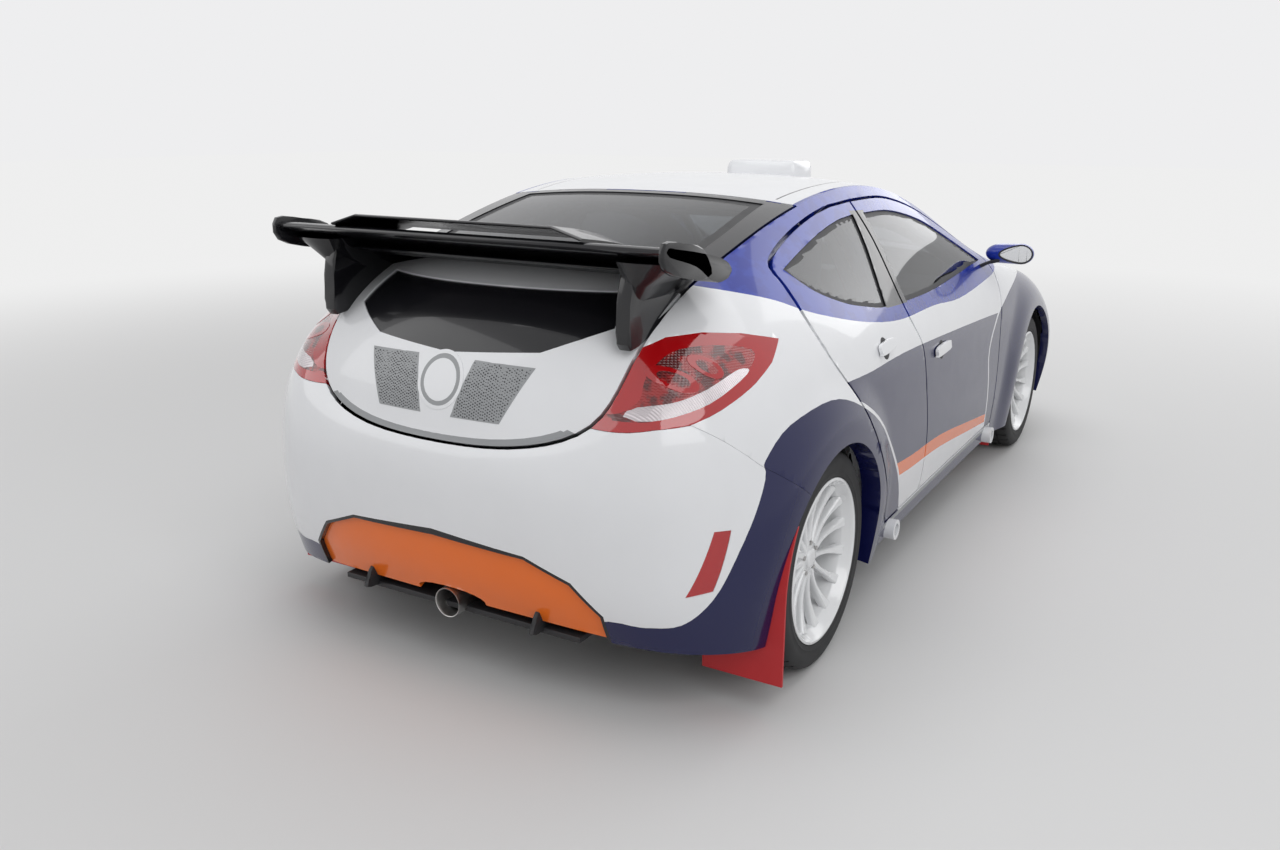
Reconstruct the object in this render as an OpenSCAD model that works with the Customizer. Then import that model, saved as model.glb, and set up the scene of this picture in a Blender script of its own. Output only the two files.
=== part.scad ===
// Rally car: a two-box hatchback with one door on the left, two on the right,
// a hollow cabin with a roll cage, and four wheels on knuckles and an axle.
// +X points forward, +Y to the car's left, +Z up. The origin is on the ground,
// midway between the nose and the tail.

/* [Body] */
// Distance between the axles
wheelbase = 2650; // [2400:10:3000]
// Distance from the front axle to the nose
front_overhang = 880; // [760:10:1000]
// Distance from the rear axle to the tail
rear_overhang = 710; // [650:10:900]
// Width over the wheel arches
body_w = 1838; // [1600:10:2200]
// Height of the roof skin above the ground
roof_h = 1364; // [1250:10:1650]
// Thickness of the doors below the windows
door_wall = 60; // [40:1:70]
// Thickness of the door edges and window frames
door_edge = 22; // [14:1:30]
// Thickness of the roof panel
roof_wall = 28; // [15:1:50]
// Thickness of the hood
hood_wall = 34; // [20:1:50]
// Thickness of the tailgate
gate_wall = 42; // [25:1:60]
// Thickness of the bumpers
bumper_wall = 38; // [20:1:50]
// Thickness of the front fenders
fender_wall = 30; // [15:1:40]
// Thickness of the window glass
glass_t = 5; // [3:1:8]

/* [Clearances] */
// Gap around the doors
door_gap = 9; // [6:1:14]
// Gap around the hood and the tailgate
lid_gap = 7; // [5:1:12]
// Gap between fixed body panels
seam = 0.8; // [0.4:0.1:4]
// Gap between a piece and its seat
fit = 0.3; // [0.2:0.05:1]
// Gap between a tyre and the lip of a rear arch
rear_arch_gap = 30; // [20:1:60]
// Gap between a tyre and the lip of a front arch
front_arch_gap = 50; // [40:1:80]

/* [Wheels] */
// Radius of the tyre
tyre_r = 325; // [260:1:400]
// Width of the tyre
tyre_w = 235; // [185:5:285]
// Radius of the rim's outer lip
rim_r = 246; // [200:1:280]
// Distance from the car's centre line to the outer face of a tyre
track_face = 873; // [820:1:960]
// Number of spokes in a wheel
spokes = 15; // [5:1:20]
// Radius of a brake disc
disc_r = 165; // [120:1:180]
// Radius of a stub axle
stub_r = 22; // [15:1:28]
// Inward lean of the steering axis, in degrees
kingpin_lean = 10.5; // [6:0.5:14]
// Distance from the tyre's centre plane in to the steering axis at hub height
kingpin_offset = 112; // [95:1:130]

/* [Equipment] */
// Radius of the roll cage tubes
cage_r = 22; // [16:1:30]
// Radius of the steering wheel
steering_r = 165; // [140:1:190]
// Bore radius of the sill jack sockets
jack_bore = 22; // [15:1:28]
// Wall of the sill jack sockets
jack_wall = 13; // [6:1:20]
// Length of the sill jack sockets
jack_len = 70; // [50:1:90]
// Span of the rear wing
wing_span = 1310; // [1000:10:1500]
// Thickness of the mud flaps
flap_t = 8; // [4:1:12]

/* [Hidden] */

// Places are written for the car at its standard size. sx, sy and sz move them
// with the overall sizes, so every outline follows the body it lies on.
std_front = 1240;
std_rear = -1410;
std_nose = 857;
std_tail = 710;
std_width = 1838;
std_roof = 1364;
fixed_z = 600;
front_x = (wheelbase + rear_overhang - front_overhang) / 2;
rear_x = front_x - wheelbase;
function sx(x) = x > std_front ? front_x + (x - std_front) * front_overhang / std_nose
  : x < std_rear ? rear_x + (x - std_rear) * rear_overhang / std_tail
  : rear_x + (x - std_rear) * wheelbase / (std_front - std_rear);
function sy(y) = y * body_w / std_width;
function sz(z) = z < fixed_z ? z
  : fixed_z + (z - fixed_z) * (roof_h - fixed_z) / (std_roof - fixed_z);
function side_pts(list) = [for (p = list) [sx(p[0]), sz(p[1])]];
function plan_pts(list) = [for (p = list) [sx(p[0]), sy(p[1])]];
function end_pts(list) = [for (p = list) [sy(p[0]), sz(p[1])]];

// ---- The outer skin ----
// Control rows of the side, from the lower edge up to the rail. The rail is the
// hood edge, the windshield pillar, the roof edge and the tailgate edge. Each
// row runs from the middle of the nose round to the middle of the tail.
SIDE = [
  [[2040, 0, 200], [2030, 380, 200], [1930, 700, 205], [1780, 815, 205],
   [1600, 850, 195], [1240, 855, 190], [880, 855, 190], [500, 850, 190],
   [100, 850, 190], [-300, 850, 190], [-700, 853, 190], [-1060, 857, 190],
   [-1410, 862, 190], [-1740, 845, 195], [-1940, 740, 215], [-2020, 560, 235],
   [-2050, 300, 250], [-2055, 0, 250]],
  [[2090, 0, 300], [2075, 390, 300], [1970, 710, 305], [1800, 845, 320],
   [1600, 878, 330], [1240, 880, 330], [880, 875, 330], [500, 868, 330],
   [100, 868, 330], [-300, 868, 330], [-700, 872, 330], [-1060, 880, 330],
   [-1410, 885, 330], [-1750, 868, 330], [-1970, 750, 335], [-2065, 560, 340],
   [-2095, 300, 345], [-2100, 0, 345]],
  [[2108, 0, 430], [2090, 395, 430], [1985, 715, 440], [1810, 858, 455],
   [1600, 890, 470], [1240, 893, 470], [880, 885, 470], [500, 878, 470],
   [100, 878, 470], [-300, 878, 470], [-700, 885, 470], [-1060, 893, 470],
   [-1410, 900, 470], [-1750, 885, 470], [-1980, 755, 460], [-2080, 560, 455],
   [-2112, 300, 450], [-2118, 0, 450]],
  [[2095, 0, 540], [2075, 390, 540], [1965, 700, 560], [1800, 848, 590],
   [1600, 882, 620], [1240, 888, 640], [880, 880, 650], [500, 872, 650],
   [100, 872, 650], [-300, 874, 650], [-700, 880, 655], [-1060, 888, 665],
   [-1410, 895, 675], [-1750, 875, 660], [-1985, 745, 620], [-2085, 555, 600],
   [-2116, 300, 590], [-2124, 0, 590]],
  [[2050, 0, 620], [2030, 385, 625], [1920, 670, 650], [1760, 805, 690],
   [1560, 845, 745], [1240, 860, 785], [900, 865, 805], [560, 862, 815],
   [150, 860, 825], [-250, 862, 835], [-650, 866, 850], [-1000, 868, 865],
   [-1370, 872, 860], [-1720, 850, 830], [-1975, 725, 770], [-2075, 545, 700],
   [-2112, 290, 660], [-2120, 0, 655]],
  [[2000, 0, 665], [1975, 370, 670], [1870, 630, 700], [1700, 745, 760],
   [1450, 785, 830], [1200, 800, 880], [930, 800, 920], [650, 792, 945],
   [250, 790, 950], [-200, 790, 948], [-600, 795, 955], [-950, 795, 990],
   [-1330, 790, 1020], [-1690, 760, 990], [-1960, 660, 900], [-2055, 535, 765],
   [-2105, 280, 700], [-2114, 0, 695]],
  [[1980, 0, 685], [1950, 340, 690], [1860, 600, 715], [1640, 715, 780],
   [1330, 750, 858], [1050, 755, 915], [800, 740, 960], [480, 725, 1050],
   [150, 695, 1140], [-250, 690, 1180], [-650, 690, 1180], [-1000, 680, 1165],
   [-1360, 665, 1130], [-1700, 630, 1060], [-1940, 580, 930], [-2040, 515, 790],
   [-2098, 270, 718], [-2107, 0, 713]],
  [[1965, 0, 700], [1930, 300, 705], [1845, 560, 728], [1600, 680, 795],
   [1280, 715, 868], [980, 715, 925], [780, 690, 970], [420, 640, 1125],
   [90, 590, 1255], [-300, 565, 1340], [-700, 555, 1340], [-1060, 545, 1290],
   [-1400, 540, 1205], [-1720, 535, 1115], [-1935, 520, 980], [-2020, 495, 800],
   [-2088, 260, 735], [-2098, 0, 730]]];
// The same stations along the car's centre line, over hood, roof and tailgate
MIDDLE = [[1965, 700], [1930, 705], [1860, 765], [1640, 845], [1380, 905], [1130, 955],
  [930, 1010], [600, 1150], [280, 1285], [-150, 1365], [-650, 1368], [-1040, 1325],
  [-1400, 1245], [-1720, 1175], [-1935, 1080], [-2060, 900], [-2088, 735], [-2098, 730]];
cols = len(MIDDLE) - 1;
rows = len(SIDE) - 1;

function flip(p) = [p[0], -p[1], p[2]];
function weights(t) = [pow(1 - t, 3), 3 * t * t * t - 6 * t * t + 4,
  3 * t + 3 * t * t - 3 * t * t * t + 1, t * t * t] / 6;
function around(row, i) = i < 0 ? flip(row[-i]) : i > cols ? flip(row[2 * cols - i]) : row[i];
function control(i, j) = j < 0 ? 2 * around(SIDE[0], i) - around(SIDE[1], i)
  : j > rows ? 2 * around(SIDE[rows], i) - around(SIDE[rows - 1], i)
  : around(SIDE[j], i);
function band(u, v) = let (i = min(floor(u), cols - 1), j = min(floor(v), rows - 1),
  a = weights(u - i), b = weights(v - j))
  [for (k = [0:2]) a * [for (m = [0:3]) b * [for (n = [0:3]) control(i + m - 1, j + n - 1)[k]]]];
function spine(u) = let (i = min(floor(u), cols - 1), a = weights(u - i))
  a * [for (m = [0:3]) let (q = i + m - 1) MIDDLE[q < 0 ? -q : q > cols ? 2 * cols - q : q]];
function crown(u, s) = let (r = band(u, rows), c = spine(u), k = 1 - s)
  [r[0] + (c[0] - r[0]) * (1 - k * k), r[1] * k, r[2] + (c[1] - r[2]) * (1 - pow(k, 2.3))];
function ramp(a, b, x) = let (t = max(0, min(1, (x - a) / (b - a)))) t * t * (3 - 2 * t);
// The arches swell outwards round each wheel
flare_out = 26;
function flared(p) = let (f = norm([p[0] - std_front, p[2] - 325]),
  r = norm([p[0] - std_rear, p[2] - 325]))
  [p[0], p[1] + flare_out * (1 - ramp(390, 560, min(f, r))) * ramp(300, 700, p[1])
    * (1 - ramp(820, 900, p[2])), p[2]];
function placed(p) = [sx(p[0]), sy(p[1]), sz(p[2])];
function rail(u) = placed(band(u, rows));

per_col = 2;
per_row = 2;
per_top = 4;
NU = cols * per_col;
NV = rows * per_row;
NT = NV + per_top;
GRID = [for (i = [0:NU]) concat(
  [for (j = [0:NV]) placed(flared(band(i / per_col, j / per_row)))],
  [for (s = [1:per_top]) placed(crown(i / per_col, s / per_top))])];
function grid(i, j) = i < 0 ? flip(GRID[-i][j]) : i > NU ? flip(GRID[2 * NU - i][j])
  : j < 0 ? GRID[i][0] : j > NT ? flip(GRID[i][2 * NT - j]) : GRID[i][j];
function unit(v) = v / max(norm(v), 0.001);
NORMAL = [for (i = [0:NU]) [for (j = [0:NT])
  unit(cross(grid(i + 1, j) - grid(i - 1, j), grid(i, j + 1) - grid(i, j - 1)))]];
function corner(s, i, j) = i == 0 ? min(j, NV) : i == NU ? NV + 1 + min(j, NV)
  : 2 * (NV + 1) + ((i - 1) * 2 + (j == NT ? 0 : s)) * (NT + 1) + j;
open_drop = 150;
// A point of the skin moved in by depth; the lower edge drops so that a
// difference of two skins is open underneath.
function inset(i, j, depth) = GRID[i][j] - depth * NORMAL[i][j]
  - [0, 0, depth > 0 && j == 0 ? open_drop : 0];
function on_middle(p) = [p[0], 0, p[2]];
QUADS = concat(
  [for (i = [0:NU - 1]) for (j = [0:NT - 1])
    [corner(0, i, j), corner(0, i, j + 1), corner(0, i + 1, j + 1), corner(0, i + 1, j)]],
  [for (i = [0:NU - 1]) for (j = [0:NT - 1])
    [corner(1, i, j), corner(1, i + 1, j), corner(1, i + 1, j + 1), corner(1, i, j + 1)]],
  [for (i = [0:NU - 1]) [corner(0, i, 0), corner(0, i + 1, 0), corner(1, i + 1, 0), corner(1, i, 0)]]);
TRIANGLES = [for (q = QUADS) for (t = [[q[0], q[1], q[2]], [q[0], q[2], q[3]]])
  if (t[0] != t[1] && t[1] != t[2] && t[0] != t[2]) t];

// The whole body as one closed shape, its surface moved in by depth
module skin(depth = 0) {
  points = concat(
    [for (e = [0, NU]) for (j = [0:NV]) on_middle(inset(e, j, depth))],
    [for (i = [1:NU - 1]) for (s = [0, 1]) for (j = [0:NT])
      s == 0 ? inset(i, j, depth) : flip(inset(i, j, depth))]);
  polyhedron(points, TRIANGLES);
}

// The layer of the body between two depths
module layer(outer, inner) {
  difference() {
    skin(outer);
    skin(inner);
  }
}

// A curved panel, worked out as one smooth shell
module panel() resize([0, 0, 0]) children();
module left_side() mirror([0, 1, 0]) children();

// Prisms that cut the body: from its right side, from above, and along it
module side_prism(outline) rotate([90, 0, 0]) linear_extrude(body_w) polygon(side_pts(outline));
module grown_side(outline, d) rotate([90, 0, 0]) linear_extrude(body_w)
  offset(delta = d) polygon(side_pts(outline));
module grown_sides(outlines, d) rotate([90, 0, 0]) linear_extrude(body_w)
  for (outline = outlines) offset(delta = d) polygon(side_pts(outline));
module plan_prism(z0, z1, outline) translate([0, 0, z0]) linear_extrude(z1 - z0) polygon(outline);
module end_prism(x0, x1, outline) translate([x0, 0, 0]) rotate([90, 0, 90])
  linear_extrude(x1 - x0) polygon(outline);
function both_sides(half) = concat(half, [for (i = [len(half) - 1:-1:0]) [half[i][0], -half[i][1]]]);
function both_y(half) = concat(half, [for (i = [len(half) - 1:-1:0]) [-half[i][0], half[i][1]]]);

// Stations of the rail, counted in columns of the control rows
hood_end = 5.4;
hood_front = 1940;
glass_start = 6;
roof_start = 8.3;
gate_start = 10.65;
high = roof_h + 200;
low_cut = 620;

function rail_plan(u0, u1, d) = [for (k = [0:16]) let (r = rail(u0 + (u1 - u0) * k / 16))
  [r[0], max(0, r[1] - d)]];

// ---- Outlines, side view (x, z), right side ----
front_door_top = [[690, 915], [640, 990], [480, 1062], [260, 1150], [50, 1222], [-160, 1268],
  [-350, 1290], [-600, 1292]];
b_line = [[-600, 1292], [-600, 1100], [-589, 950], [-576, 885], [-530, 802], [-503, 665],
  [-466, 517], [-452, 395], [-448, 268]];
front_edge = [[606, 268], [590, 460], [606, 683], [660, 840], [690, 915]];
FRONT_DOOR = concat(front_edge, [for (i = [1:len(front_door_top) - 1]) front_door_top[i]],
  [for (i = [1:len(b_line) - 1]) b_line[i]]);
REAR_DOOR = concat([for (i = [len(b_line) - 1:-1:0]) b_line[i]],
  [[-780, 1284], [-940, 1262], [-1145, 1216], [-1318, 1158], [-1345, 1105], [-1376, 1004],
   [-1356, 921], [-1302, 845], [-1185, 702], [-1105, 600], [-1037, 506], [-960, 400],
   [-850, 268]]);
LEFT_DOOR = concat(front_edge, [for (i = [1:len(front_door_top) - 1]) front_door_top[i]],
  [[-780, 1284], [-800, 1100], [-800, 985], [-790, 885], [-770, 700], [-755, 517], [-745, 268]]);
FRONT_WINDOW = [[560, 985], [450, 1030], [250, 1108], [50, 1180], [-160, 1226], [-350, 1250],
  [-560, 1254], [-563, 1100], [-553, 962], [-250, 957], [100, 968], [350, 980]];
REAR_WINDOW = [[-650, 1254], [-780, 1246], [-940, 1222], [-1145, 1178], [-1290, 1142],
  [-1262, 1104], [-1205, 1066], [-1065, 1020], [-844, 980], [-768, 974]];
LEFT_WINDOW = [[560, 985], [450, 1030], [250, 1108], [50, 1180], [-160, 1226], [-350, 1250],
  [-560, 1254], [-745, 1247], [-762, 1100], [-760, 980], [-553, 962], [-250, 957],
  [100, 968], [350, 980]];
QUARTER_WINDOW = [[-828, 1240], [-940, 1222], [-1145, 1178], [-1290, 1142], [-1262, 1104],
  [-1205, 1066], [-1065, 1020], [-838, 985]];
// The thick part of a door stops below the window
BELT_CUT = [[900, 100], [900, 925], [560, 945], [-250, 920], [-844, 940], [-1065, 978],
  [-1205, 1020], [-1500, 1130], [-1500, 100]];
BODY_SIDE = [[760, 960], [640, 925], [640, 150], [-1050, 150], [-1410, 325],
  [-1640, 605], [-1793, 715],
  [-1878, 792], [-1928, 833], [-1864, 855], [-1802, 878], [-1733, 904], [-1633, 946],
  [-1551, 994], [-1655, 1019], [-1741, 1028], [-1822, 1022], [-1879, 1002], [-1935, 951],
  [-1990, 1100], [-1900, 1500], [700, 1500]];
FENDER = [[1768, 610], [1690, 700], [1570, 790], [1480, 822], [1480, 1000], [1010, 1040],
  [770, 975], [692, 938], [640, 830], [598, 683], [582, 460], [596, 275], [618, 259],
  [618, 150], [860, 150], [1240, 325], [1560, 512]];
HEADLAMP = [[2080, 640], [1950, 600], [1768, 610], [1690, 700], [1570, 790], [1480, 822],
  [1640, 826], [1820, 775], [1960, 730], [2080, 720]];
NOSE = [[2400, 150], [1400, 150], [1240, 325], [1560, 512], [1768, 610], [1950, 600],
  [2080, 640], [2080, 760], [2400, 800]];
TAIL = [[-2400, 150], [-1560, 150], [-1410, 325], [-1640, 605], [-1793, 715], [-1878, 792],
  [-1928, 833], [-1989, 824], [-2021, 814], [-2060, 830], [-2400, 900]];
TAIL_LAMP = [[-2100, 790], [-2100, 1100], [-1900, 1100], [-1879, 1002], [-1822, 1022],
  [-1741, 1028], [-1655, 1019], [-1551, 994], [-1633, 946], [-1733, 904], [-1802, 878],
  [-1864, 855], [-1928, 833], [-1989, 824], [-2021, 814]];
FOG_LAMP = [[-1890, 565], [-1929, 567], [-1979, 394], [-1929, 405]];
SILL = [[600, 100], [600, 254], [-860, 254], [-915, 100]];

// ---- Outlines, looking along the car (y, z) ----
TAIL_OPENING = both_y([[0, 468], [300, 455], [430, 405], [505, 320], [515, 100]]);
NOSE_OPENING = both_y([[0, 610], [330, 600], [470, 470], [420, 300], [300, 255]]);
LOWER_GLASS = both_y([[0, 958], [278, 978], [438, 1040], [425, 1118]]);
UPPER_GLASS = both_sides([[-1010, 455], [-1300, 470], [-1560, 468], [-1600, 440]]);

module gate_prism(d) {
  half = [for (k = [0:24]) let (r = rail(gate_start + (cols - gate_start) * k / 24))
    [max(0, r[1] + d), r[2] - d]];
  intersection() {
    end_prism(-rear_overhang * 3, front_x, both_y(concat([[half[0][0], high]], half)));
    translate([sx(-975) + d - 3000, -body_w, 0]) cube([3000, 2 * body_w, 2 * high]);
  }
}
module hood_prism(d) intersection() {
  plan_prism(low_cut, high, both_sides(concat([[sx(1990), 0]], rail_plan(0.2, hood_end, -d),
    [[sx(860) - d, sy(640)], [sx(930) - d, sy(500)], [sx(985) - d, sy(300)], [sx(1008) - d, 0]])));
  translate([0, -body_w, 0]) cube([sx(hood_front) + d, 2 * body_w, 2 * high]);
}
// The edge that the roof and the windshield share, from the middle outwards
function header(d) = concat([for (p = [[180, 0], [165, 250], [110, 430]]) [sx(p[0]) + d, sy(p[1])]],
  [[rail(roof_start)[0] + d, rail(roof_start)[1] - 22]]);
function backwards(list) = [for (i = [len(list) - 1:-1:0]) list[i]];
module shield_prism(d) plan_prism(low_cut, high, both_sides(concat(
  [[sx(950) + d, 0], [sx(925) + d, sy(300)], [sx(870) + d, sy(500)], [sx(790) + d, sy(655) + d]],
  rail_plan(glass_start + 0.15, roof_start - 0.1, 22 - d), backwards(header(1 - d)))));
module roof_prism(d) plan_prism(low_cut, high, both_sides(concat(
  header(d), rail_plan(roof_start + 0.1, gate_start, 14 - d),
  [[sx(-968) - d, rail(gate_start)[1] - 14 + d], [sx(-968) - d, 0]])));
// Room for a wheel: round above its axle and straight down below it
module arch(x, r) {
  translate([x, 0, tyre_r]) rotate([90, 0, 0]) cylinder(h = body_w, r = r, $fn = 48);
  translate([x - r, -body_w, 0]) cube([2 * r, body_w, tyre_r]);
}
rear_arch_r = tyre_r + rear_arch_gap;
front_arch_r = tyre_r + front_arch_gap;
sweep_r = sqrt(tyre_r * tyre_r + pow(kingpin_offset + tyre_w / 2, 2));
front_house_r = sweep_r + 18;

// ---- Body shell ----
frame_depth = door_wall + 6;
side_depth = frame_depth + 36;
gate_seat = 26;
module cowl_room(d) translate([sx(690), -sy(560) - d, low_cut])
  cube([sx(1020) - sx(690), 2 * sy(560) + 2 * d, high]);
flange = 42;
// The doors' holes in the side: wide outside, with a flange behind the doors' edges
lip = 10;
module door_holes(doors) {
  difference() {
    grown_sides(doors, door_gap);
    skin(frame_depth);
    for (outline = doors) door_lip(outline);
  }
  grown_sides(doors, -flange);
}
// The raised edge of the flange that the door shuts against
module door_lip(outline) intersection() {
  grown_side(outline, lip - flange);
  skin(door_wall + fit);
}
module side_panel(doors, windows) {
  panel() difference() {
    intersection() {
      layer(0, side_depth);
      side_prism(BODY_SIDE);
    }
    door_holes(doors);
    for (w = windows) side_prism(w);
    shield_prism(seam);
    roof_prism(seam);
    difference() {
      gate_prism(lid_gap / 2);
      skin(gate_wall + fit);
    }
    gate_prism(-gate_seat);
    cowl_room(seam);
    arch(rear_x, rear_arch_r);
    house_pocket();
    grown_side(FENDER, seam);
    difference() {
      grown_side(SILL, seam);
      skin(frame_depth + fit);
    }
    for (x = jack_x) jack_hole(x);
  }
}
module body_side_right() {
  color("white") side_panel([FRONT_DOOR, REAR_DOOR], []);
}
module body_side_left() {
  color("white") left_side() side_panel([LEFT_DOOR], [QUARTER_WINDOW]);
}
module roof_panel() {
  color("white") panel() intersection() {
    layer(0, roof_wall);
    roof_prism(0);
  }
}
// Flat scoop on the roof
module roof_vent() {
  color("white") panel() difference() {
    hull() {
      translate([sx(-60), -sy(165), sz(1270)]) cube([sx(150) - sx(-60), sy(330), sz(1372) - sz(1270)]);
      translate([sx(-50), -sy(150), sz(1270)]) cube([sx(120) - sx(-50), sy(300), sz(1400) - sz(1270)]);
    }
    skin(-fit);
  }
}
module windshield() {
  color([0.3, 0.35, 0.4, 0.5]) panel() intersection() {
    layer(4, 4 + glass_t);
    shield_prism(0);
  }
}
// Black strip between the hood and the windshield
module cowl() {
  color("black") panel() difference() {
    intersection() {
      layer(fender_wall + fit, hood_wall + 22);
      plan_prism(low_cut, high, both_sides(plan_pts([[1000, 0], [975, 300], [920, 500],
        [870, 640], [800, 640], [850, 500], [905, 300], [930, 0]])));
    }
    difference() {
      hood_prism(lid_gap);
      skin(hood_wall + fit);
    }
  }
}
module fender() {
  panel() difference() {
    intersection() {
      layer(0, fender_wall);
      side_prism(FENDER);
    }
    hood_prism(lid_gap / 2);
    shield_prism(seam);
    cowl_room(seam);
    arch(front_x, front_arch_r);
    grown_side(HEADLAMP, seam);
    grown_side(NOSE, seam);
    grown_side(FRONT_DOOR, door_gap);
  }
}
module fender_left() color("white") left_side() fender();
module fender_right() color("white") fender();
module hood() {
  color("white") panel() intersection() {
    layer(0, hood_wall);
    hood_prism(-lid_gap / 2);
  }
}
module front_bumper() {
  color("white") panel() difference() {
    intersection() {
      layer(0, bumper_wall);
      union() {
        side_prism(NOSE);
        left_side() side_prism(NOSE);
        translate([sx(1800), -sy(430), sz(560)]) cube([front_overhang, 2 * sy(430), 400]);
      }
    }
    hood_prism(lid_gap / 2);
    end_prism(front_x, front_x + 2 * front_overhang, end_pts(NOSE_OPENING));
    for (s = [0, 1]) mirror([0, s, 0]) {
      arch(front_x, front_arch_r);
      lamp_space(seam);
    }
  }
}
// Black mesh that closes the opening in the nose
module front_grille() {
  color("black") panel() intersection() {
    layer(12, 30);
    end_prism(front_x, front_x + 2 * front_overhang,
      end_pts([for (p = NOSE_OPENING) [p[0] * 0.999, 433 + (p[1] - 433) * 0.999]]));
  }
}
module lamp_space(d) {
  difference() {
    grown_side(HEADLAMP, d);
    translate([0, -sy(430) + d, 0]) cube([3 * front_overhang, body_w, high]);
  }
}
module headlamp() {
  panel() difference() {
    intersection() {
      layer(0, bumper_wall + 20);
      lamp_space(0);
    }
    hood_prism(lid_gap / 2);
  }
}
module headlamps() {
  color([0.8, 0.85, 0.9]) {
    headlamp();
    left_side() headlamp();
  }
}

// ---- Doors ----
module door(outline, window) {
  panel() difference() {
    intersection() {
      union() {
        intersection() {
          layer(0, door_edge);
          side_prism(outline);
        }
        intersection() {
          layer(door_edge / 2, door_wall);
          grown_side(outline, -30);
          side_prism(BELT_CUT);
        }
      }
    }
    side_prism(window);
  }
}
module pane(window) {
  panel() intersection() {
    layer(6, 6 + glass_t);
    grown_side(window, -fit);
  }
}
module door_left() color("white") left_side() door(LEFT_DOOR, LEFT_WINDOW);
module door_front_right() color("white") door(FRONT_DOOR, FRONT_WINDOW);
module door_rear_right() color("white") door(REAR_DOOR_TRIM, REAR_WINDOW);
// The rear door stands back a little more at its two upper ends, where it
// swings rearwards as it opens, and from the front door above the belt.
REAR_DOOR_TRIM = [for (p = REAR_DOOR) p[1] > 940 && p[0] < -1300 ? [p[0] + 5, p[1]]
  : p[1] >= 885 && p[0] > -620 ? [p[0] - 14, p[1]]
  : p[0] > -620 ? [p[0] - 9, p[1]] : p];
tint = [0.15, 0.17, 0.2, 0.6];
module door_left_glass() color(tint) left_side() pane(LEFT_WINDOW);
module door_front_right_glass() color(tint) pane(FRONT_WINDOW);
module door_rear_right_glass() color(tint) pane(REAR_WINDOW);
module quarter_glass_left() color(tint) left_side() pane(QUARTER_WINDOW);
module mirror_pod() {
  panel() difference() {
    union() {
      hull() {
        translate([sx(560), -sy(850), sz(1015)]) scale([0.75, 1, 0.62]) sphere(r = 70, $fn = 14);
        translate([sx(540), -sy(945), sz(1022)]) scale([0.75, 0.8, 0.68]) sphere(r = 66, $fn = 14);
      }
      hull() {
        translate([sx(530), -sy(860), sz(985)]) cube([50, 20, 20]);
        translate([sx(520), -sy(760), sz(945)]) cube([80, 20, 24]);
      }
    }
    skin(-fit);
  }
}
module mirror_left() color("royalblue") left_side() mirror_pod();
module mirror_right() color("royalblue") mirror_pod();

// ---- Tail ----
module tailgate() {
  color("white") panel() difference() {
    intersection() {
      layer(0, gate_wall);
      gate_prism(-lid_gap / 2);
    }
    plan_prism(sz(1100), high, plan_pts(UPPER_GLASS));
    end_prism(sx(-2300), sx(-1700), end_pts(LOWER_GLASS));
  }
}
module tailgate_glass_upper() {
  color(tint) panel() intersection() {
    layer(4, 4 + glass_t);
    translate([0, 0, sz(1100)]) linear_extrude(high) offset(delta = -fit) polygon(plan_pts(UPPER_GLASS));
  }
}
module tailgate_glass_lower() {
  color(tint) panel() intersection() {
    layer(4, 4 + glass_t);
    translate([sx(-2300), 0, 0]) rotate([90, 0, 90]) linear_extrude(sx(-1700) - sx(-2300))
      offset(delta = -fit) polygon(end_pts(LOWER_GLASS));
  }
}
// Wing section (x, z): the foot rests on the tailgate and the blade trails back
module rear_wing() {
  blade = side_pts([[-1640, 1186], [-1700, 1216], [-1830, 1244], [-1975, 1268], [-1992, 1262],
    [-1975, 1244], [-1840, 1206], [-1740, 1150], [-1660, 1160]]);
  foot = side_pts([[-1600, 1100], [-1600, 1180], [-1700, 1200], [-1850, 1222], [-1930, 1190],
    [-1950, 1050]]);
  color("black") panel() difference() {
    union() {
      translate([0, wing_span / 2, 0]) rotate([90, 0, 0]) linear_extrude(wing_span) polygon(blade);
      for (s = [-1, 1]) translate([0, s * sy(505) + 21, 0]) rotate([90, 0, 0])
        linear_extrude(42) polygon(foot);
      for (s = [-1, 1]) translate([0, s * (wing_span / 2 - 8) + 8, 0]) rotate([90, 0, 0])
        linear_extrude(16) polygon(side_pts([[-1760, 1195], [-1800, 1250], [-1992, 1276],
          [-1985, 1215], [-1850, 1180]]));
    }
    skin(-fit);
  }
}
module tail_lamp() {
  panel() difference() {
    intersection() {
      layer(0, door_wall);
      side_prism(TAIL_LAMP);
    }
    gate_prism(lid_gap / 2);
  }
}
module tail_lamps() {
  color("red") {
    tail_lamp();
    left_side() tail_lamp();
  }
}
module rear_bumper() {
  color("white") panel() difference() {
    intersection() {
      layer(0, bumper_wall);
      union() {
        side_prism(TAIL);
        left_side() side_prism(TAIL);
      }
    }
    gate_prism(lid_gap / 2);
    end_prism(sx(-2300), sx(-1700), end_pts(TAIL_OPENING));
    for (s = [0, 1]) mirror([0, s, 0]) {
      arch(rear_x, rear_arch_r);
      house_pocket();
      grown_side(TAIL_LAMP, seam);
      side_prism(FOG_LAMP);
      grown_side(BODY_SIDE, seam);
    }
  }
}
module fog_lamp() {
  panel() intersection() {
    layer(3, bumper_wall - 6);
    grown_side(FOG_LAMP, -fit);
  }
}
module rear_fog_lamps() {
  color("red") {
    fog_lamp();
    left_side() fog_lamp();
  }
}
exhaust_z = 245;
pipe_r = 32;
tip_r = 44;
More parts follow.
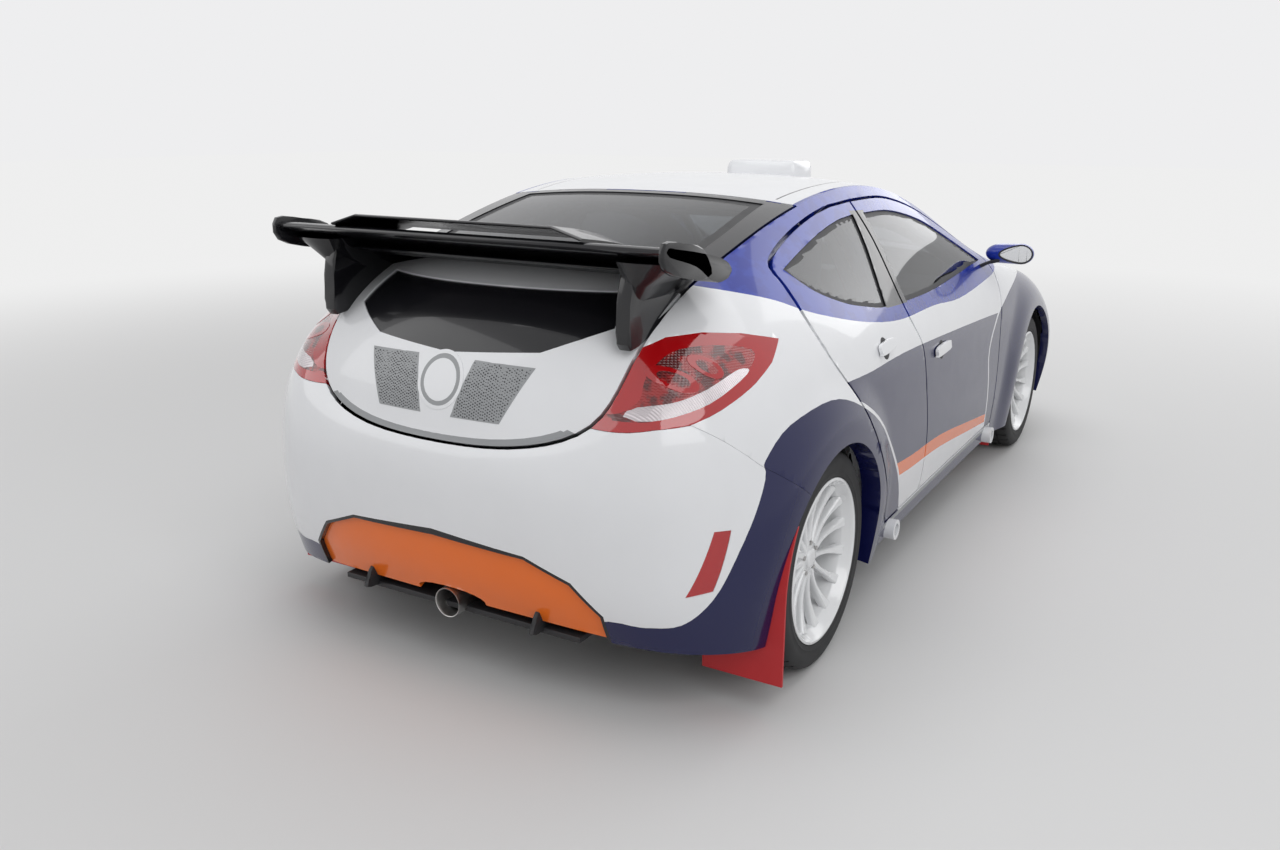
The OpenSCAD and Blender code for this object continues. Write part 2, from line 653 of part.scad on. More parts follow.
module rear_diffuser() {
  inner = [for (p = end_pts(TAIL_OPENING)) [p[0] * (1 - 2 * fit / 1000), p[1] - fit]];
  color("orangered") panel() difference() {
    union() {
      intersection() {
        layer(14, 46);
        end_prism(sx(-2300), sx(-1700), inner);
      }
      for (y = [-300, 300]) translate([sx(-2060), sy(y) - 8, 215]) cube([240, 16, 150]);
      intersection() {
        translate([sx(-2060), -sy(480), 215]) cube([240, sy(960), 18]);
        skin(14);
      }
    }
    translate([sx(-2200), 0, exhaust_z]) rotate([0, 90, 0]) cylinder(h = 700, r = tip_r + 8, $fn = 40);
  }
}

// ---- Lower body ----
jack_x = [sx(-800), sx(540)];
jack_z = 224;
jack_r = jack_bore + jack_wall;
function skin_y(x) = body_w / 2 - 62;
module jack_hole(x) translate([x, 0, jack_z]) rotate([90, 0, 0]) cylinder(h = body_w, r = jack_r + fit, $fn = 32);
module skirt() {
  panel() difference() {
    intersection() {
      layer(0, frame_depth);
      side_prism(SILL);
    }
    for (x = jack_x) jack_hole(x);
    arch(rear_x, rear_arch_r + 6);
  }
}
module side_skirts() {
  color("midnightblue") {
    skirt();
    left_side() skirt();
  }
}
module jack_socket(x) {
  translate([x, -skin_y(x), jack_z]) rotate([90, 0, 0]) difference() {
    cylinder(h = jack_len, r = jack_r, center = true, $fn = 64);
    cylinder(h = jack_len + 2, r = jack_bore, center = true, $fn = 64);
  }
}
module jack_sockets() {
  color("white") for (x = jack_x) {
    jack_socket(x);
    left_side() jack_socket(x);
  }
}
floor_half = sy(746);
floor_z = 196;
floor_t = 18;
tunnel_w = 105;
tunnel_h = 130;
floor_front = front_x - front_house_r - 6 - fit;
floor_step = rear_x + rear_arch_r + 10 + fit;
boot_z = 420;
boot_half = track_face - tyre_w - 48;
module floor_pan() {
  z = floor_z;
  t = floor_t;
  half = [[-floor_half, z], [-tunnel_w, z], [-tunnel_w + 20, z + tunnel_h],
    [tunnel_w - 20, z + tunnel_h], [tunnel_w, z], [floor_half, z], [floor_half, z + t],
    [tunnel_w + 16, z + t], [tunnel_w - 6, z + tunnel_h + t], [6 - tunnel_w, z + tunnel_h + t],
    [-tunnel_w - 16, z + t], [-floor_half, z + t]];
  color("dimgray") {
    difference() {
      union() {
        end_prism(floor_step, floor_front, half);
        translate([floor_front - 14, -floor_half, z + t]) cube([14, 2 * floor_half, sz(840) - z - t]);
        translate([floor_step, -boot_half, z + 2]) cube([14, 2 * boot_half, boot_z - z]);
        translate([floor_step, -floor_half, z]) cube([14, 2 * floor_half, tyre_r + 15 - z]);
        plan_prism(boot_z, boot_z + 14, both_sides([[floor_step + 10, boot_half],
          [rear_x - rear_arch_r - 12, boot_half], [rear_x - rear_arch_r - 12, sy(760)],
          [sx(-1900), sy(700)], [sx(-1985), sy(620)]]));
      }
      for (x = [floor_step - 1, floor_front - 15]) translate([x, -tunnel_w + 22, z - 1])
        cube([16, 2 * tunnel_w - 44, tunnel_h]);
    }
  }
}
// An arch-shaped tub round a wheel, open outwards and below
module wheel_house(x, r, y_in, y_out) {
  translate([x, -y_in, tyre_r]) rotate([90, 0, 0]) difference() {
    cylinder(h = y_out - y_in, r = r + 6, $fn = 96);
    translate([0, 0, 6]) cylinder(h = y_out - y_in, r = r, $fn = 96);
    translate([-2 * r, -2 * r, -1]) cube([4 * r, 2 * r, y_out]);
  }
}
front_house_in = track_face - tyre_w / 2 - kingpin_offset - sweep_r * 0.53 - 22;
house_out = sy(835);
rear_house_out = sy(820);
module house_pocket() translate([rear_x, 0, tyre_r]) rotate([90, 0, 0])
  cylinder(h = rear_house_out + fit, r = rear_arch_r + 12, $fn = 40);
module wheel_houses() {
  color("black") for (s = [0, 1]) mirror([0, s, 0]) {
    difference() {
      wheel_house(rear_x, rear_arch_r + 4, boot_half + fit, rear_house_out);
      translate([rear_x, -boot_half + 1, tyre_r]) rotate([90, 0, 0]) cylinder(h = 20, r = 70, $fn = 48);
    }
    difference() {
      wheel_house(front_x, front_house_r, front_house_in, house_out);
      translate([front_x, -front_house_in + 1, tyre_r + 60]) rotate([90, 0, 0])
        cylinder(h = 60, r = 70, $fn = 48);
      tower_hole();
    }
  }
}
// Flap that follows the arch behind a wheel and hangs down to just above the road
flap_low = 92;
module flap(x, r, y0, y1) {
  arc = [for (a = [0:6:36]) a];
  translate([x, -y0, tyre_r]) rotate([90, 0, 0]) linear_extrude(y1 - y0) polygon(concat(
    [[-r, flap_low - tyre_r]], [for (a = arc) [-r * cos(a), r * sin(a)]],
    [for (i = [len(arc) - 1:-1:0]) [-(r - flap_t) * cos(arc[i]), (r - flap_t) * sin(arc[i])]],
    [[-(r - flap_t), flap_low - tyre_r]]));
}
module mud_flaps() {
  color("red") for (s = [0, 1]) mirror([0, s, 0]) {
    flap(rear_x, rear_arch_r - 1, sy(655), sy(895));
    flap(front_x, front_house_r - 1, sy(600), sy(820));
  }
}

// ---- Running gear ----
wheel_y = track_face - tyre_w / 2;
hub_r = 62;
hub_out = 70;
disc_in = -50;
disc_t = 26;
running = 0.3;
kingpin_y = wheel_y - kingpin_offset;
lean = tan(kingpin_lean);
function kingpin(z) = [front_x, kingpin_y - (z - tyre_r) * lean, z];
tower_z = sz(775);
module tower_hole() {
  p = kingpin(tyre_r + front_house_r);
  translate([p[0], -p[1], p[2]]) cylinder(h = 80, r = 62, center = true, $fn = 48);
}
// A wheel, its axle along Z and its outer face up, about the tyre's centre plane
module rim() {
  w = tyre_w / 2;
  rotate_extrude($fn = 72) polygon([[rim_r - 26, -w + 6], [rim_r, -w + 6], [rim_r, -w + 16],
    [rim_r - 14, -w + 24], [rim_r - 22, -w + 60], [rim_r - 22, w - 40], [rim_r - 12, w - 16],
    [rim_r, w - 12], [rim_r, w - 2], [rim_r - 10, w - 2], [rim_r - 30, w - 36],
    [rim_r - 30, -w + 40]]);
  difference() {
    union() {
      translate([0, 0, disc_in]) cylinder(h = hub_out - disc_in, r = hub_r, $fn = 48);
      for (i = [0:spokes - 1]) rotate([0, 0, i * 360 / spokes])
        translate([hub_r - 12, -9, hub_out - 24]) cube([rim_r - hub_r - 12, 18, 28]);
      translate([0, 0, disc_in]) cylinder(h = disc_t, r = disc_r, $fn = 72);
    }
    translate([0, 0, disc_in - 1]) cylinder(h = hub_out - disc_in - 14, r = stub_r + running, $fn = 48);
  }
}
module tyre() {
  w = tyre_w / 2;
  r = tyre_r;
  rotate_extrude($fn = 96) polygon([[rim_r + fit, 8 - w], [rim_r + 20, -w + 2],
    [r - 45, -w], [r - 20, -w + 8], [r - 4, -w + 26], [r, -w + 45], [r, w - 45],
    [r - 4, w - 26], [r - 20, w - 8], [r - 45, w], [rim_r + 20, w - 2], [rim_r + fit, w - 8]]);
}
module at_wheel(x, s) translate([x, s * wheel_y, tyre_r]) rotate([-90 * s, 0, 0]) children();
module wheel_front_left() color("white") at_wheel(front_x, 1) rim();
module wheel_front_right() color("white") at_wheel(front_x, -1) rim();
module wheel_rear_left() color("white") at_wheel(rear_x, 1) rim();
module wheel_rear_right() color("white") at_wheel(rear_x, -1) rim();
module tyre_front_left() color([0.1, 0.1, 0.1]) at_wheel(front_x, 1) tyre();
module tyre_front_right() color([0.1, 0.1, 0.1]) at_wheel(front_x, -1) tyre();
module tyre_rear_left() color([0.1, 0.1, 0.1]) at_wheel(rear_x, 1) tyre();
module tyre_rear_right() color([0.1, 0.1, 0.1]) at_wheel(rear_x, -1) tyre();

stub_len = hub_out - disc_in - 20;
joint_z = tyre_r - 145;
carrier_in = disc_in - 58;
module stub() {
  translate([0, 0, carrier_in]) cylinder(h = 50, r = 52, $fn = 48);
  translate([0, 0, carrier_in]) cylinder(h = stub_len + 52, r = stub_r, $fn = 48);
}
module caliper() {
  for (z = [disc_in - 26, disc_in + disc_t + 8]) translate([disc_r - 55, -55, z]) cube([75, 110, 18]);
  translate([disc_r + 8, -55, disc_in - 26]) cube([16, 110, disc_t + 52]);
  translate([30, -18, disc_in - 44]) cube([disc_r - 10, 36, 18]);
}
// Steering knuckle with its stub axle, brake caliper and strut
module knuckle(s) {
  low = kingpin(joint_z + 18 + 25 * sin(kingpin_lean) + fit);
  top = kingpin(tower_z + 2 - 20 * sin(kingpin_lean) - fit);
  color("gray") {
    at_wheel(front_x, s) {
      stub();
      caliper();
    }
    translate([low[0], s * low[1], low[2]]) rotate([kingpin_lean * s, 0, 0]) {
      cylinder(h = 330, r = 25, $fn = 48);
      translate([0, 0, 320]) cylinder(h = norm(top - low) - 320, r = 20, $fn = 48);
    }
  }
}
module knuckle_left() knuckle(1);
module knuckle_right() knuckle(-1);
// Cross member with the lower arms, and the towers that hold the struts
module front_subframe() {
  color("dimgray") {
    difference() {
      union() {
        translate([front_x - 140, -sy(340), joint_z - 8]) cube([280, 2 * sy(340), 36]);
        for (s = [-1, 1]) {
          p = kingpin(joint_z);
          translate([front_x - 26, s > 0 ? sy(330) : -p[1] - 18, joint_z - 4])
            cube([52, p[1] + 18 - sy(330), 22]);
        }
      }
      translate([front_x - 90, -sy(250), joint_z - 20]) cube([180, 2 * sy(250), 60]);
    }
    for (s = [0, 1]) mirror([0, s, 0]) {
      p = kingpin(tower_z);
      translate([front_x - 70, -p[1] - 70, tower_z + 2]) cube([140, 140, 20]);
      for (x = [-70, 54]) translate([front_x + x, -front_house_in + fit, joint_z + 27])
        cube([16, 30, tower_z - joint_z - 20]);
      translate([front_x - 70, -p[1] - 60, tower_z + 2]) cube([140, p[1] + 96 - front_house_in, 20]);
    }
    for (s = [-1, 1]) translate([front_x - 70, s > 0 ? sy(340) - 20 : -front_house_in + 6, joint_z + 10])
      cube([140, front_house_in - sy(340) + 14, 18]);
  }
}
module rear_axle() {
  beam = wheel_y + carrier_in + 10;
  color("dimgray") {
    translate([rear_x, beam, tyre_r]) rotate([90, 0, 0]) cylinder(h = 2 * beam, r = 38, $fn = 48);
    for (s = [-1, 1]) {
      at_wheel(rear_x, s) stub();
      translate([rear_x - 20, s * sy(470) - 25, tyre_r - 20]) cube([floor_step - rear_x + 20 - fit, 50, 40]);
      translate([rear_x, s * sy(470), tyre_r]) cylinder(h = boot_z - tyre_r - fit, r = 30, $fn = 40);
    }
  }
}
module engine_block() {
  color("gray") translate([front_x - 200, -sy(290), joint_z + 28 + fit])
    cube([420, 2 * sy(290), sz(760) - joint_z - 28]);
}
module exhaust() {
  z = exhaust_z;
  color("silver") {
    difference() {
      translate([sx(-2065), 0, z]) rotate([0, 90, 0]) cylinder(h = 300, r = tip_r, $fn = 48);
      translate([sx(-2065) - 1, 0, z]) rotate([0, 90, 0]) cylinder(h = 200, r = tip_r - 5, $fn = 48);
    }
    translate([sx(-1800), -200, z - 50]) cube([230, 400, 120]);
    for (y = [-150, 150]) translate([sx(-1800) + 115, y, z]) cylinder(h = boot_z - fit - z, r = 9, $fn = 32);
    translate([sx(-1600), 0, z]) rotate([0, 90, 0])
      cylinder(h = front_x - 210 - sx(-1600), r = pipe_r, $fn = 48);
  }
}

// ---- Cabin ----
module tube(a, b) hull() {
  translate(a) sphere(r = cage_r, $fn = 10);
  translate(b) sphere(r = cage_r, $fn = 10);
}
function cp3(x, y, z) = [sx(x), sy(y), sz(z)];
module roll_cage() {
  low = cage_r * cos(18) + fit;
  foot = floor_z + floor_t + low;
  color("white") {
    for (s = [-1, 1]) {
      tube([sx(-620), s * sy(620), foot], cp3(-620, s * 640, 960));
      tube(cp3(-620, s * 640, 960), cp3(-600, s * 486, 1240));
      tube(cp3(-600, s * 486, 1240), cp3(120, s * 486, 1215));
      tube(cp3(120, s * 486, 1215), cp3(640, s * 610, 960));
      tube(cp3(640, s * 610, 960), [sx(640), s * sy(630), foot]);
      tube(cp3(-600, s * 486, 1240), cp3(-1180, s * 480, 1010));
      tube(cp3(-1180, s * 480, 1010), [sx(-1240), s * sy(470), boot_z + 14 + low]);
      tube([sx(-620), s * sy(630), 420], [sx(640), s * sy(622), sz(640)]);
    }
    tube(cp3(-600, -486, 1240), cp3(-600, 486, 1240));
    tube(cp3(120, -486, 1215), cp3(120, 486, 1215));
    tube(cp3(-620, -635, 800), cp3(-620, 635, 800));
    tube(cp3(-620, 635, 800), cp3(-600, -486, 1240));
  }
}
module bucket_seat(s) {
  color("black") translate([sx(20), s * sy(350), floor_z + floor_t + fit]) {
    translate([-230, -190, 0]) cube([470, 30, 90]);
    translate([-230, 160, 0]) cube([470, 30, 90]);
    panel() difference() {
      union() {
        hull() {
          translate([-270, -225, 90]) cube([60, 450, 160]);
          translate([240, -215, 90]) cube([40, 430, 190]);
        }
        hull() {
          translate([-300, -225, 90]) cube([160, 450, 120]);
          translate([-480, -215, 560]) cube([130, 430, 60]);
        }
        hull() {
          translate([-480, -215, 560]) cube([130, 430, 60]);
          translate([-545, -150, 800]) cube([130, 300, 30]);
        }
      }
      hull() {
        translate([-195, -165, 160]) cube([10, 330, 200]);
        translate([300, -165, 200]) cube([10, 330, 200]);
      }
      hull() {
        translate([-195, -165, 160]) cube([100, 330, 10]);
        translate([-395, -160, 600]) cube([200, 320, 10]);
      }
      hull() {
        translate([-395, -160, 599]) cube([200, 320, 10]);
        translate([-470, -110, 760]) cube([200, 220, 10]);
      }
    }
  }
}
module seat_left() bucket_seat(1);
module seat_right() bucket_seat(-1);
module dashboard() {
  w = sy(560);
  color("black") {
    translate([0, w, 0]) rotate([90, 0, 0]) linear_extrude(2 * w) polygon(concat(
      [[dash_front, sz(560)], [dash_front, sz(870)]], side_pts([[600, 885], [480, 850], [470, 800], [540, 700], [640, 640]])));
    translate([column_low[0], column_low[1], column_low[2]]) rotate([0, -column_tilt, 0])
      cylinder(h = column_len, r = 24, $fn = 40);
  }
}
dash_front = floor_front - 14 - fit;
column_tilt = 66;
column_len = 200;
column_low = [sx(520), sy(370), sz(735)];
column_dir = [-sin(column_tilt), 0, cos(column_tilt)];
wheel_at = column_low + (column_len + fit) * column_dir;
module steering_wheel() {
  color("black") translate(wheel_at) rotate([0, -column_tilt, 0]) {
    cylinder(h = 50, r = 30, $fn = 40);
    translate([0, 0, 36]) rotate_extrude($fn = 48) translate([steering_r, 0]) circle(r = 14, $fn = 20);
    for (a = [0, 120, 240]) rotate([0, 0, a]) translate([20, -14, 32]) cube([steering_r - 26, 28, 8]);
  }
}

floor_pan();
wheel_houses();
body_side_left();
body_side_right();
roof_panel();
roof_vent();
windshield();
cowl();
front_bumper();
front_grille();
headlamps();
fender_left();
fender_right();
hood();
door_left();
door_left_glass();
door_front_right();
door_front_right_glass();
door_rear_right();
door_rear_right_glass();
quarter_glass_left();
mirror_left();
mirror_right();
tailgate();
tailgate_glass_upper();
tailgate_glass_lower();
rear_wing();
tail_lamps();
rear_bumper();
rear_diffuser();
rear_fog_lamps();
side_skirts();
mud_flaps();
exhaust();
roll_cage();
seat_left();
seat_right();
dashboard();
steering_wheel();
engine_block();
front_subframe();
rear_axle();
knuckle_left();
knuckle_right();
jack_sockets();
wheel_front_left();
tyre_front_left();
wheel_front_right();
tyre_front_right();
wheel_rear_left();
tyre_rear_left();
wheel_rear_right();
tyre_rear_right();
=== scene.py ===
"""Looks for the rally car: smooth panels, livery, wheels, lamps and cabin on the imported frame."""
import math

import bmesh
import bpy
import numpy as np
from mathutils import Matrix, Vector, noise


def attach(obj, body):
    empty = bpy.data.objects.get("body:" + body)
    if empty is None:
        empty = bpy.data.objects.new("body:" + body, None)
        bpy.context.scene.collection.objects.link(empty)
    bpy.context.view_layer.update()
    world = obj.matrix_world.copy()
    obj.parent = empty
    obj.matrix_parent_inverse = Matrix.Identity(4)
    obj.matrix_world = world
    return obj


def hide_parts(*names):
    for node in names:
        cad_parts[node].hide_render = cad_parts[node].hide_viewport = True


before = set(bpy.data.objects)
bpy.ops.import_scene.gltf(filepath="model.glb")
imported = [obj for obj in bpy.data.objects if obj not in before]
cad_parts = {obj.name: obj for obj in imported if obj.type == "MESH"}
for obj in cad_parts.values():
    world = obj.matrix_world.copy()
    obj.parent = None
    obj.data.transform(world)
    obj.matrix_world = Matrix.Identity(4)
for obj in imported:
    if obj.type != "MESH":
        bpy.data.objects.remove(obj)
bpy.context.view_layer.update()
MM = 0.001

# ---- Driving sizes, in millimetres as in the part ----
FRONT_X, REAR_X = 1240, -1410
NOSE_STRETCH = 880 / 857
TYRE_R, TYRE_W, RIM_R = 325, 235, 246
TRACK_FACE = 873
WHEEL_Y = TRACK_FACE - TYRE_W / 2
ARCH_REAR, ARCH_FRONT = 355, 375
FLOOR_TOP = 214.3
DOOR_GAP, LID_GAP, SEAM = 9, 7, 0.8
SIDE_NAME = {-1: "right", 1: "left"}
# What a pane or insert stays clear of its opening, all round
FIT = 0.3
# How deep each panel and pane goes below the skin
SIDE_DEPTH, FENDER_DEPTH, ROOF_DEPTH, HOOD_DEPTH, GATE_DEPTH, BUMPER_DEPTH = 62, 30, 28, 34, 42, 38
DOOR_SKIN, DOOR_DEPTH, SKIRT_DEPTH = 22, 60, 64
PANE_FRONT, PANE_BACK = 4, 9
# Details of the wheels, sills, tail, grille and cage
SPOKES, NUTS, HUB_R = 15, 5, 46
TREAD_STEPS = 240
SOCKET_X, SOCKET_Z = (-800, 540), 224
BADGE_Z = 887
VENT_STEP = 8.0
GRILLE_LOW, GRILLE_STEP = 262, 9.0
CAGE_R = 21.5

# ---- The outer skin: the same control rows as the part ----
SIDE = [
    [[2040, 0, 200], [2030, 380, 200], [1930, 700, 205], [1780, 815, 205],
     [1600, 850, 195], [1240, 855, 190], [880, 855, 190], [500, 850, 190],
     [100, 850, 190], [-300, 850, 190], [-700, 853, 190], [-1060, 857, 190],
     [-1410, 862, 190], [-1740, 845, 195], [-1940, 740, 215], [-2020, 560, 235],
     [-2050, 300, 250], [-2055, 0, 250]],
    [[2090, 0, 300], [2075, 390, 300], [1970, 710, 305], [1800, 845, 320],
     [1600, 878, 330], [1240, 880, 330], [880, 875, 330], [500, 868, 330],
     [100, 868, 330], [-300, 868, 330], [-700, 872, 330], [-1060, 880, 330],
     [-1410, 885, 330], [-1750, 868, 330], [-1970, 750, 335], [-2065, 560, 340],
     [-2095, 300, 345], [-2100, 0, 345]],
    [[2108, 0, 430], [2090, 395, 430], [1985, 715, 440], [1810, 858, 455],
     [1600, 890, 470], [1240, 893, 470], [880, 885, 470], [500, 878, 470],
     [100, 878, 470], [-300, 878, 470], [-700, 885, 470], [-1060, 893, 470],
     [-1410, 900, 470], [-1750, 885, 470], [-1980, 755, 460], [-2080, 560, 455],
     [-2112, 300, 450], [-2118, 0, 450]],
    [[2095, 0, 540], [2075, 390, 540], [1965, 700, 560], [1800, 848, 590],
     [1600, 882, 620], [1240, 888, 640], [880, 880, 650], [500, 872, 650],
     [100, 872, 650], [-300, 874, 650], [-700, 880, 655], [-1060, 888, 665],
     [-1410, 895, 675], [-1750, 875, 660], [-1985, 745, 620], [-2085, 555, 600],
     [-2116, 300, 590], [-2124, 0, 590]],
    [[2050, 0, 620], [2030, 385, 625], [1920, 670, 650], [1760, 805, 690],
     [1560, 845, 745], [1240, 860, 785], [900, 865, 805], [560, 862, 815],
     [150, 860, 825], [-250, 862, 835], [-650, 866, 850], [-1000, 868, 865],
     [-1370, 872, 860], [-1720, 850, 830], [-1975, 725, 770], [-2075, 545, 700],
     [-2112, 290, 660], [-2120, 0, 655]],
    [[2000, 0, 665], [1975, 370, 670], [1870, 630, 700], [1700, 745, 760],
     [1450, 785, 830], [1200, 800, 880], [930, 800, 920], [650, 792, 945],
     [250, 790, 950], [-200, 790, 948], [-600, 795, 955], [-950, 795, 990],
     [-1330, 790, 1020], [-1690, 760, 990], [-1960, 660, 900], [-2055, 535, 765],
     [-2105, 280, 700], [-2114, 0, 695]],
    [[1980, 0, 685], [1950, 340, 690], [1860, 600, 715], [1640, 715, 780],
     [1330, 750, 858], [1050, 755, 915], [800, 740, 960], [480, 725, 1050],
     [150, 695, 1140], [-250, 690, 1180], [-650, 690, 1180], [-1000, 680, 1165],
     [-1360, 665, 1130], [-1700, 630, 1060], [-1940, 580, 930], [-2040, 515, 790],
     [-2098, 270, 718], [-2107, 0, 713]],
    [[1965, 0, 700], [1930, 300, 705], [1845, 560, 728], [1600, 680, 795],
     [1280, 715, 868], [980, 715, 925], [780, 690, 970], [420, 640, 1125],
     [90, 590, 1255], [-300, 565, 1340], [-700, 555, 1340], [-1060, 545, 1290],
     [-1400, 540, 1205], [-1720, 535, 1115], [-1935, 520, 980], [-2020, 495, 800],
     [-2088, 260, 735], [-2098, 0, 730]]]
MIDDLE = [[1965, 700], [1930, 705], [1860, 765], [1640, 845], [1380, 905], [1130, 955],
          [930, 1010], [600, 1150], [280, 1285], [-150, 1365], [-650, 1368], [-1040, 1325],
          [-1400, 1245], [-1720, 1175], [-1935, 1080], [-2060, 900], [-2088, 735], [-2098, 730]]
COLS, ROWS = len(MIDDLE) - 1, len(SIDE) - 1
PER_COL, PER_ROW, PER_TOP = 18, 9, 32


def reach(i):
    """A column and its side sign, folded back at the nose and the tail."""
    return (-i, -1) if i < 0 else (2 * COLS - i, -1) if i > COLS else (i, 1)


def control(i, j):
    if j < 0:
        return 2 * control(i, 0) - control(i, 1)
    if j > ROWS:
        return 2 * control(i, ROWS) - control(i, ROWS - 1)
    col, sign = reach(i)
    x, y, z = SIDE[j][col]
    return np.array([x, sign * y, z], float)


def weights(t):
    return np.array([(1 - t) ** 3, 3 * t ** 3 - 6 * t * t + 4,
                     3 * t + 3 * t * t - 3 * t ** 3 + 1, t ** 3]) / 6


def band(u, v):
    i, j = min(int(u), COLS - 1), min(int(v), ROWS - 1)
    a, b = weights(u - i), weights(v - j)
    return sum(a[m] * b[n] * control(i + m - 1, j + n - 1) for m in range(4) for n in range(4))


def spine(u):
    i = min(int(u), COLS - 1)
    a = weights(u - i)
    return sum(a[m] * np.array(MIDDLE[reach(i + m - 1)[0]], float) for m in range(4))


def ramp(a, b, x):
    t = max(0.0, min(1.0, (x - a) / (b - a)))
    return t * t * (3 - 2 * t)


def stretched(p):
    x = FRONT_X + (p[0] - FRONT_X) * NOSE_STRETCH if p[0] > FRONT_X else p[0]
    return np.array([x, p[1], p[2]])


def flared(p):
    near = min(math.hypot(p[0] - FRONT_X, p[2] - 325), math.hypot(p[0] - REAR_X, p[2] - 325))
    swell = 26 * (1 - ramp(390, 560, near)) * ramp(300, 700, p[1]) * (1 - ramp(820, 900, p[2]))
    return np.array([p[0], p[1] + swell, p[2]])


def rail(u):
    return stretched(band(u, ROWS))


def skin_grid():
    """Points of the right half of the skin, in columns from the nose to the tail."""
    grid = []
    for i in range(COLS * PER_COL + 1):
        u = i / PER_COL
        column = [stretched(flared(band(u, j / PER_ROW))) for j in range(ROWS * PER_ROW + 1)]
        edge, mid = band(u, ROWS), spine(u)
        for s in range(1, PER_TOP + 1):
            k = 1 - s / PER_TOP
            column.append(stretched([edge[0] + (mid[0] - edge[0]) * (1 - k * k), edge[1] * k,
                                     edge[2] + (mid[1] - edge[2]) * (1 - k ** 2.3)]))
        grid.append(column)
    return np.array(grid)


GRID = skin_grid()
CELLS = (GRID[:-1, :-1] + GRID[1:, :-1] + GRID[:-1, 1:] + GRID[1:, 1:]) / 4


def sheet(side, low, high):
    """Skin faces whose middles lie between two corners; side is -1 right, 1 left, 0 both."""
    bm = bmesh.new()
    verts = {}

    def vert(i, j, s):
        p = GRID[i, j]
        if abs(p[1]) < 0.01:
            s = 0
        if j > ROWS * PER_ROW and i in (0, len(GRID) - 1):
            j = ROWS * PER_ROW
        if (i, j, s) not in verts:
            verts[i, j, s] = bm.verts.new((p[0] * MM, p[1] * (s or 1) * MM, p[2] * MM))
        return verts[i, j, s]

    flat = CELLS[:, :, [0, 2]]
    inside = np.all((flat > list(low)) & (flat < list(high)), axis=2)
    for i, j in zip(*np.nonzero(inside)):
        for s in ((-1, 1) if side == 0 else (side,)):
            ring = [vert(i, j, s), vert(i, j + 1, s), vert(i + 1, j + 1, s), vert(i + 1, j, s)]
            if s > 0:
                ring.reverse()
            ring = list(dict.fromkeys(ring))
            if len(ring) > 2:
                bm.faces.new(ring)
    bm.normal_update()
    return bm


# ---- Outlines: each is seen from the side (x, z), from above (x, y) or along the car (y, z) ----
AXES = {"side": (0, 2), "plan": (0, 1), "end": (1, 2)}


def curved(points, steps=4, closed=False):
    """A smooth curve through the points."""
    p = [np.array(q, float) for q in points]
    n = len(p)
    at = (lambda i: p[i % n]) if closed else (lambda i: p[max(0, min(n - 1, i))])
    out = []
    for i in range(n if closed else n - 1):
        a, b, c, d = at(i - 1), at(i), at(i + 1), at(i + 2)
        for k in range(steps):
            t = k / steps
            out.append(0.5 * (2 * b + (c - a) * t + (2 * a - 5 * b + 4 * c - d) * t * t
                              + (3 * b - a - 3 * c + d) * t ** 3))
    if not closed:
        out.append(p[-1])
    return [tuple(q) for q in out]


def area(poly):
    return sum(a[0] * b[1] - b[0] * a[1] for a, b in zip(poly, poly[1:] + poly[:1])) / 2


def grown(poly, d):
    """The outline moved outwards by d, with mitred corners."""
    poly = list(poly)
    turn = 1 if area(poly) > 0 else -1
    out = []
    for a, b, c in zip([poly[-1]] + poly[:-1], poly, poly[1:] + poly[:1]):
        u = np.array([b[0] - a[0], b[1] - a[1]], float)
        v = np.array([c[0] - b[0], c[1] - b[1]], float)
        u /= max(np.linalg.norm(u), 1e-9)
        v /= max(np.linalg.norm(v), 1e-9)
        n = np.array([u[1] + v[1], -u[0] - v[0]]) * turn
        n *= 2 / max(float(n @ n), 0.6)
        out.append((b[0] + n[0] * d, b[1] + n[1] * d))
    return out


def mirrored(half, axis=0):
    """A half outline and its mirror image, joined end to end."""
    flip = [(-p[0], p[1]) if axis == 0 else (p[0], -p[1]) for p in reversed(half)]
    return list(half) + flip


def contains(poly, x, y):
    hit = False
    for (ax, ay), (bx, by) in zip(poly, poly[1:] + poly[:1]):
        if (ay > y) != (by > y) and x < (bx - ax) * (y - ay) / (by - ay) + ax:
            hit = not hit
    return hit


def cut(bm, line, view, closed=True, where=None):
    """Cuts the faces of bm along an outline; where tells which faces may be cut."""
    p, q = AXES[view]
    line = [(a * MM, b * MM) for a, b in line]
    pairs = list(zip(line, line[1:] + line[:1])) if closed else list(zip(line, line[1:]))
    size = 0.05
    for a, b in pairs:
        length = math.hypot(b[0] - a[0], b[1] - a[1])
        if length < 1e-6:
            continue
        ux, uy = (b[0] - a[0]) / length, (b[1] - a[1]) / length
        faces = []
        for f in bm.faces:
            c = f.calc_center_median()
            dx, dy = c[p] - a[0], c[q] - a[1]
            if abs(dx * uy - dy * ux) < size and -size < dx * ux + dy * uy < length + size:
                if where is None or where(c):
                    faces.append(f)
        if not faces:
            continue
        co, no = Vector((0, 0, 0)), Vector((0, 0, 0))
        co[p], co[q] = a
        no[p], no[q] = uy, -ux
        near = set(faces)
        edges = {e for f in faces for e in f.edges}
        verts = {v for f in faces for v in f.verts}
        bmesh.ops.bisect_plane(bm, geom=list(near) + list(edges) + list(verts), dist=2e-4,
                               plane_co=co, plane_no=no)
    return bm


def centres(bm):
    """Each face with its middle."""
    return [(f, f.calc_center_median()) for f in bm.faces]


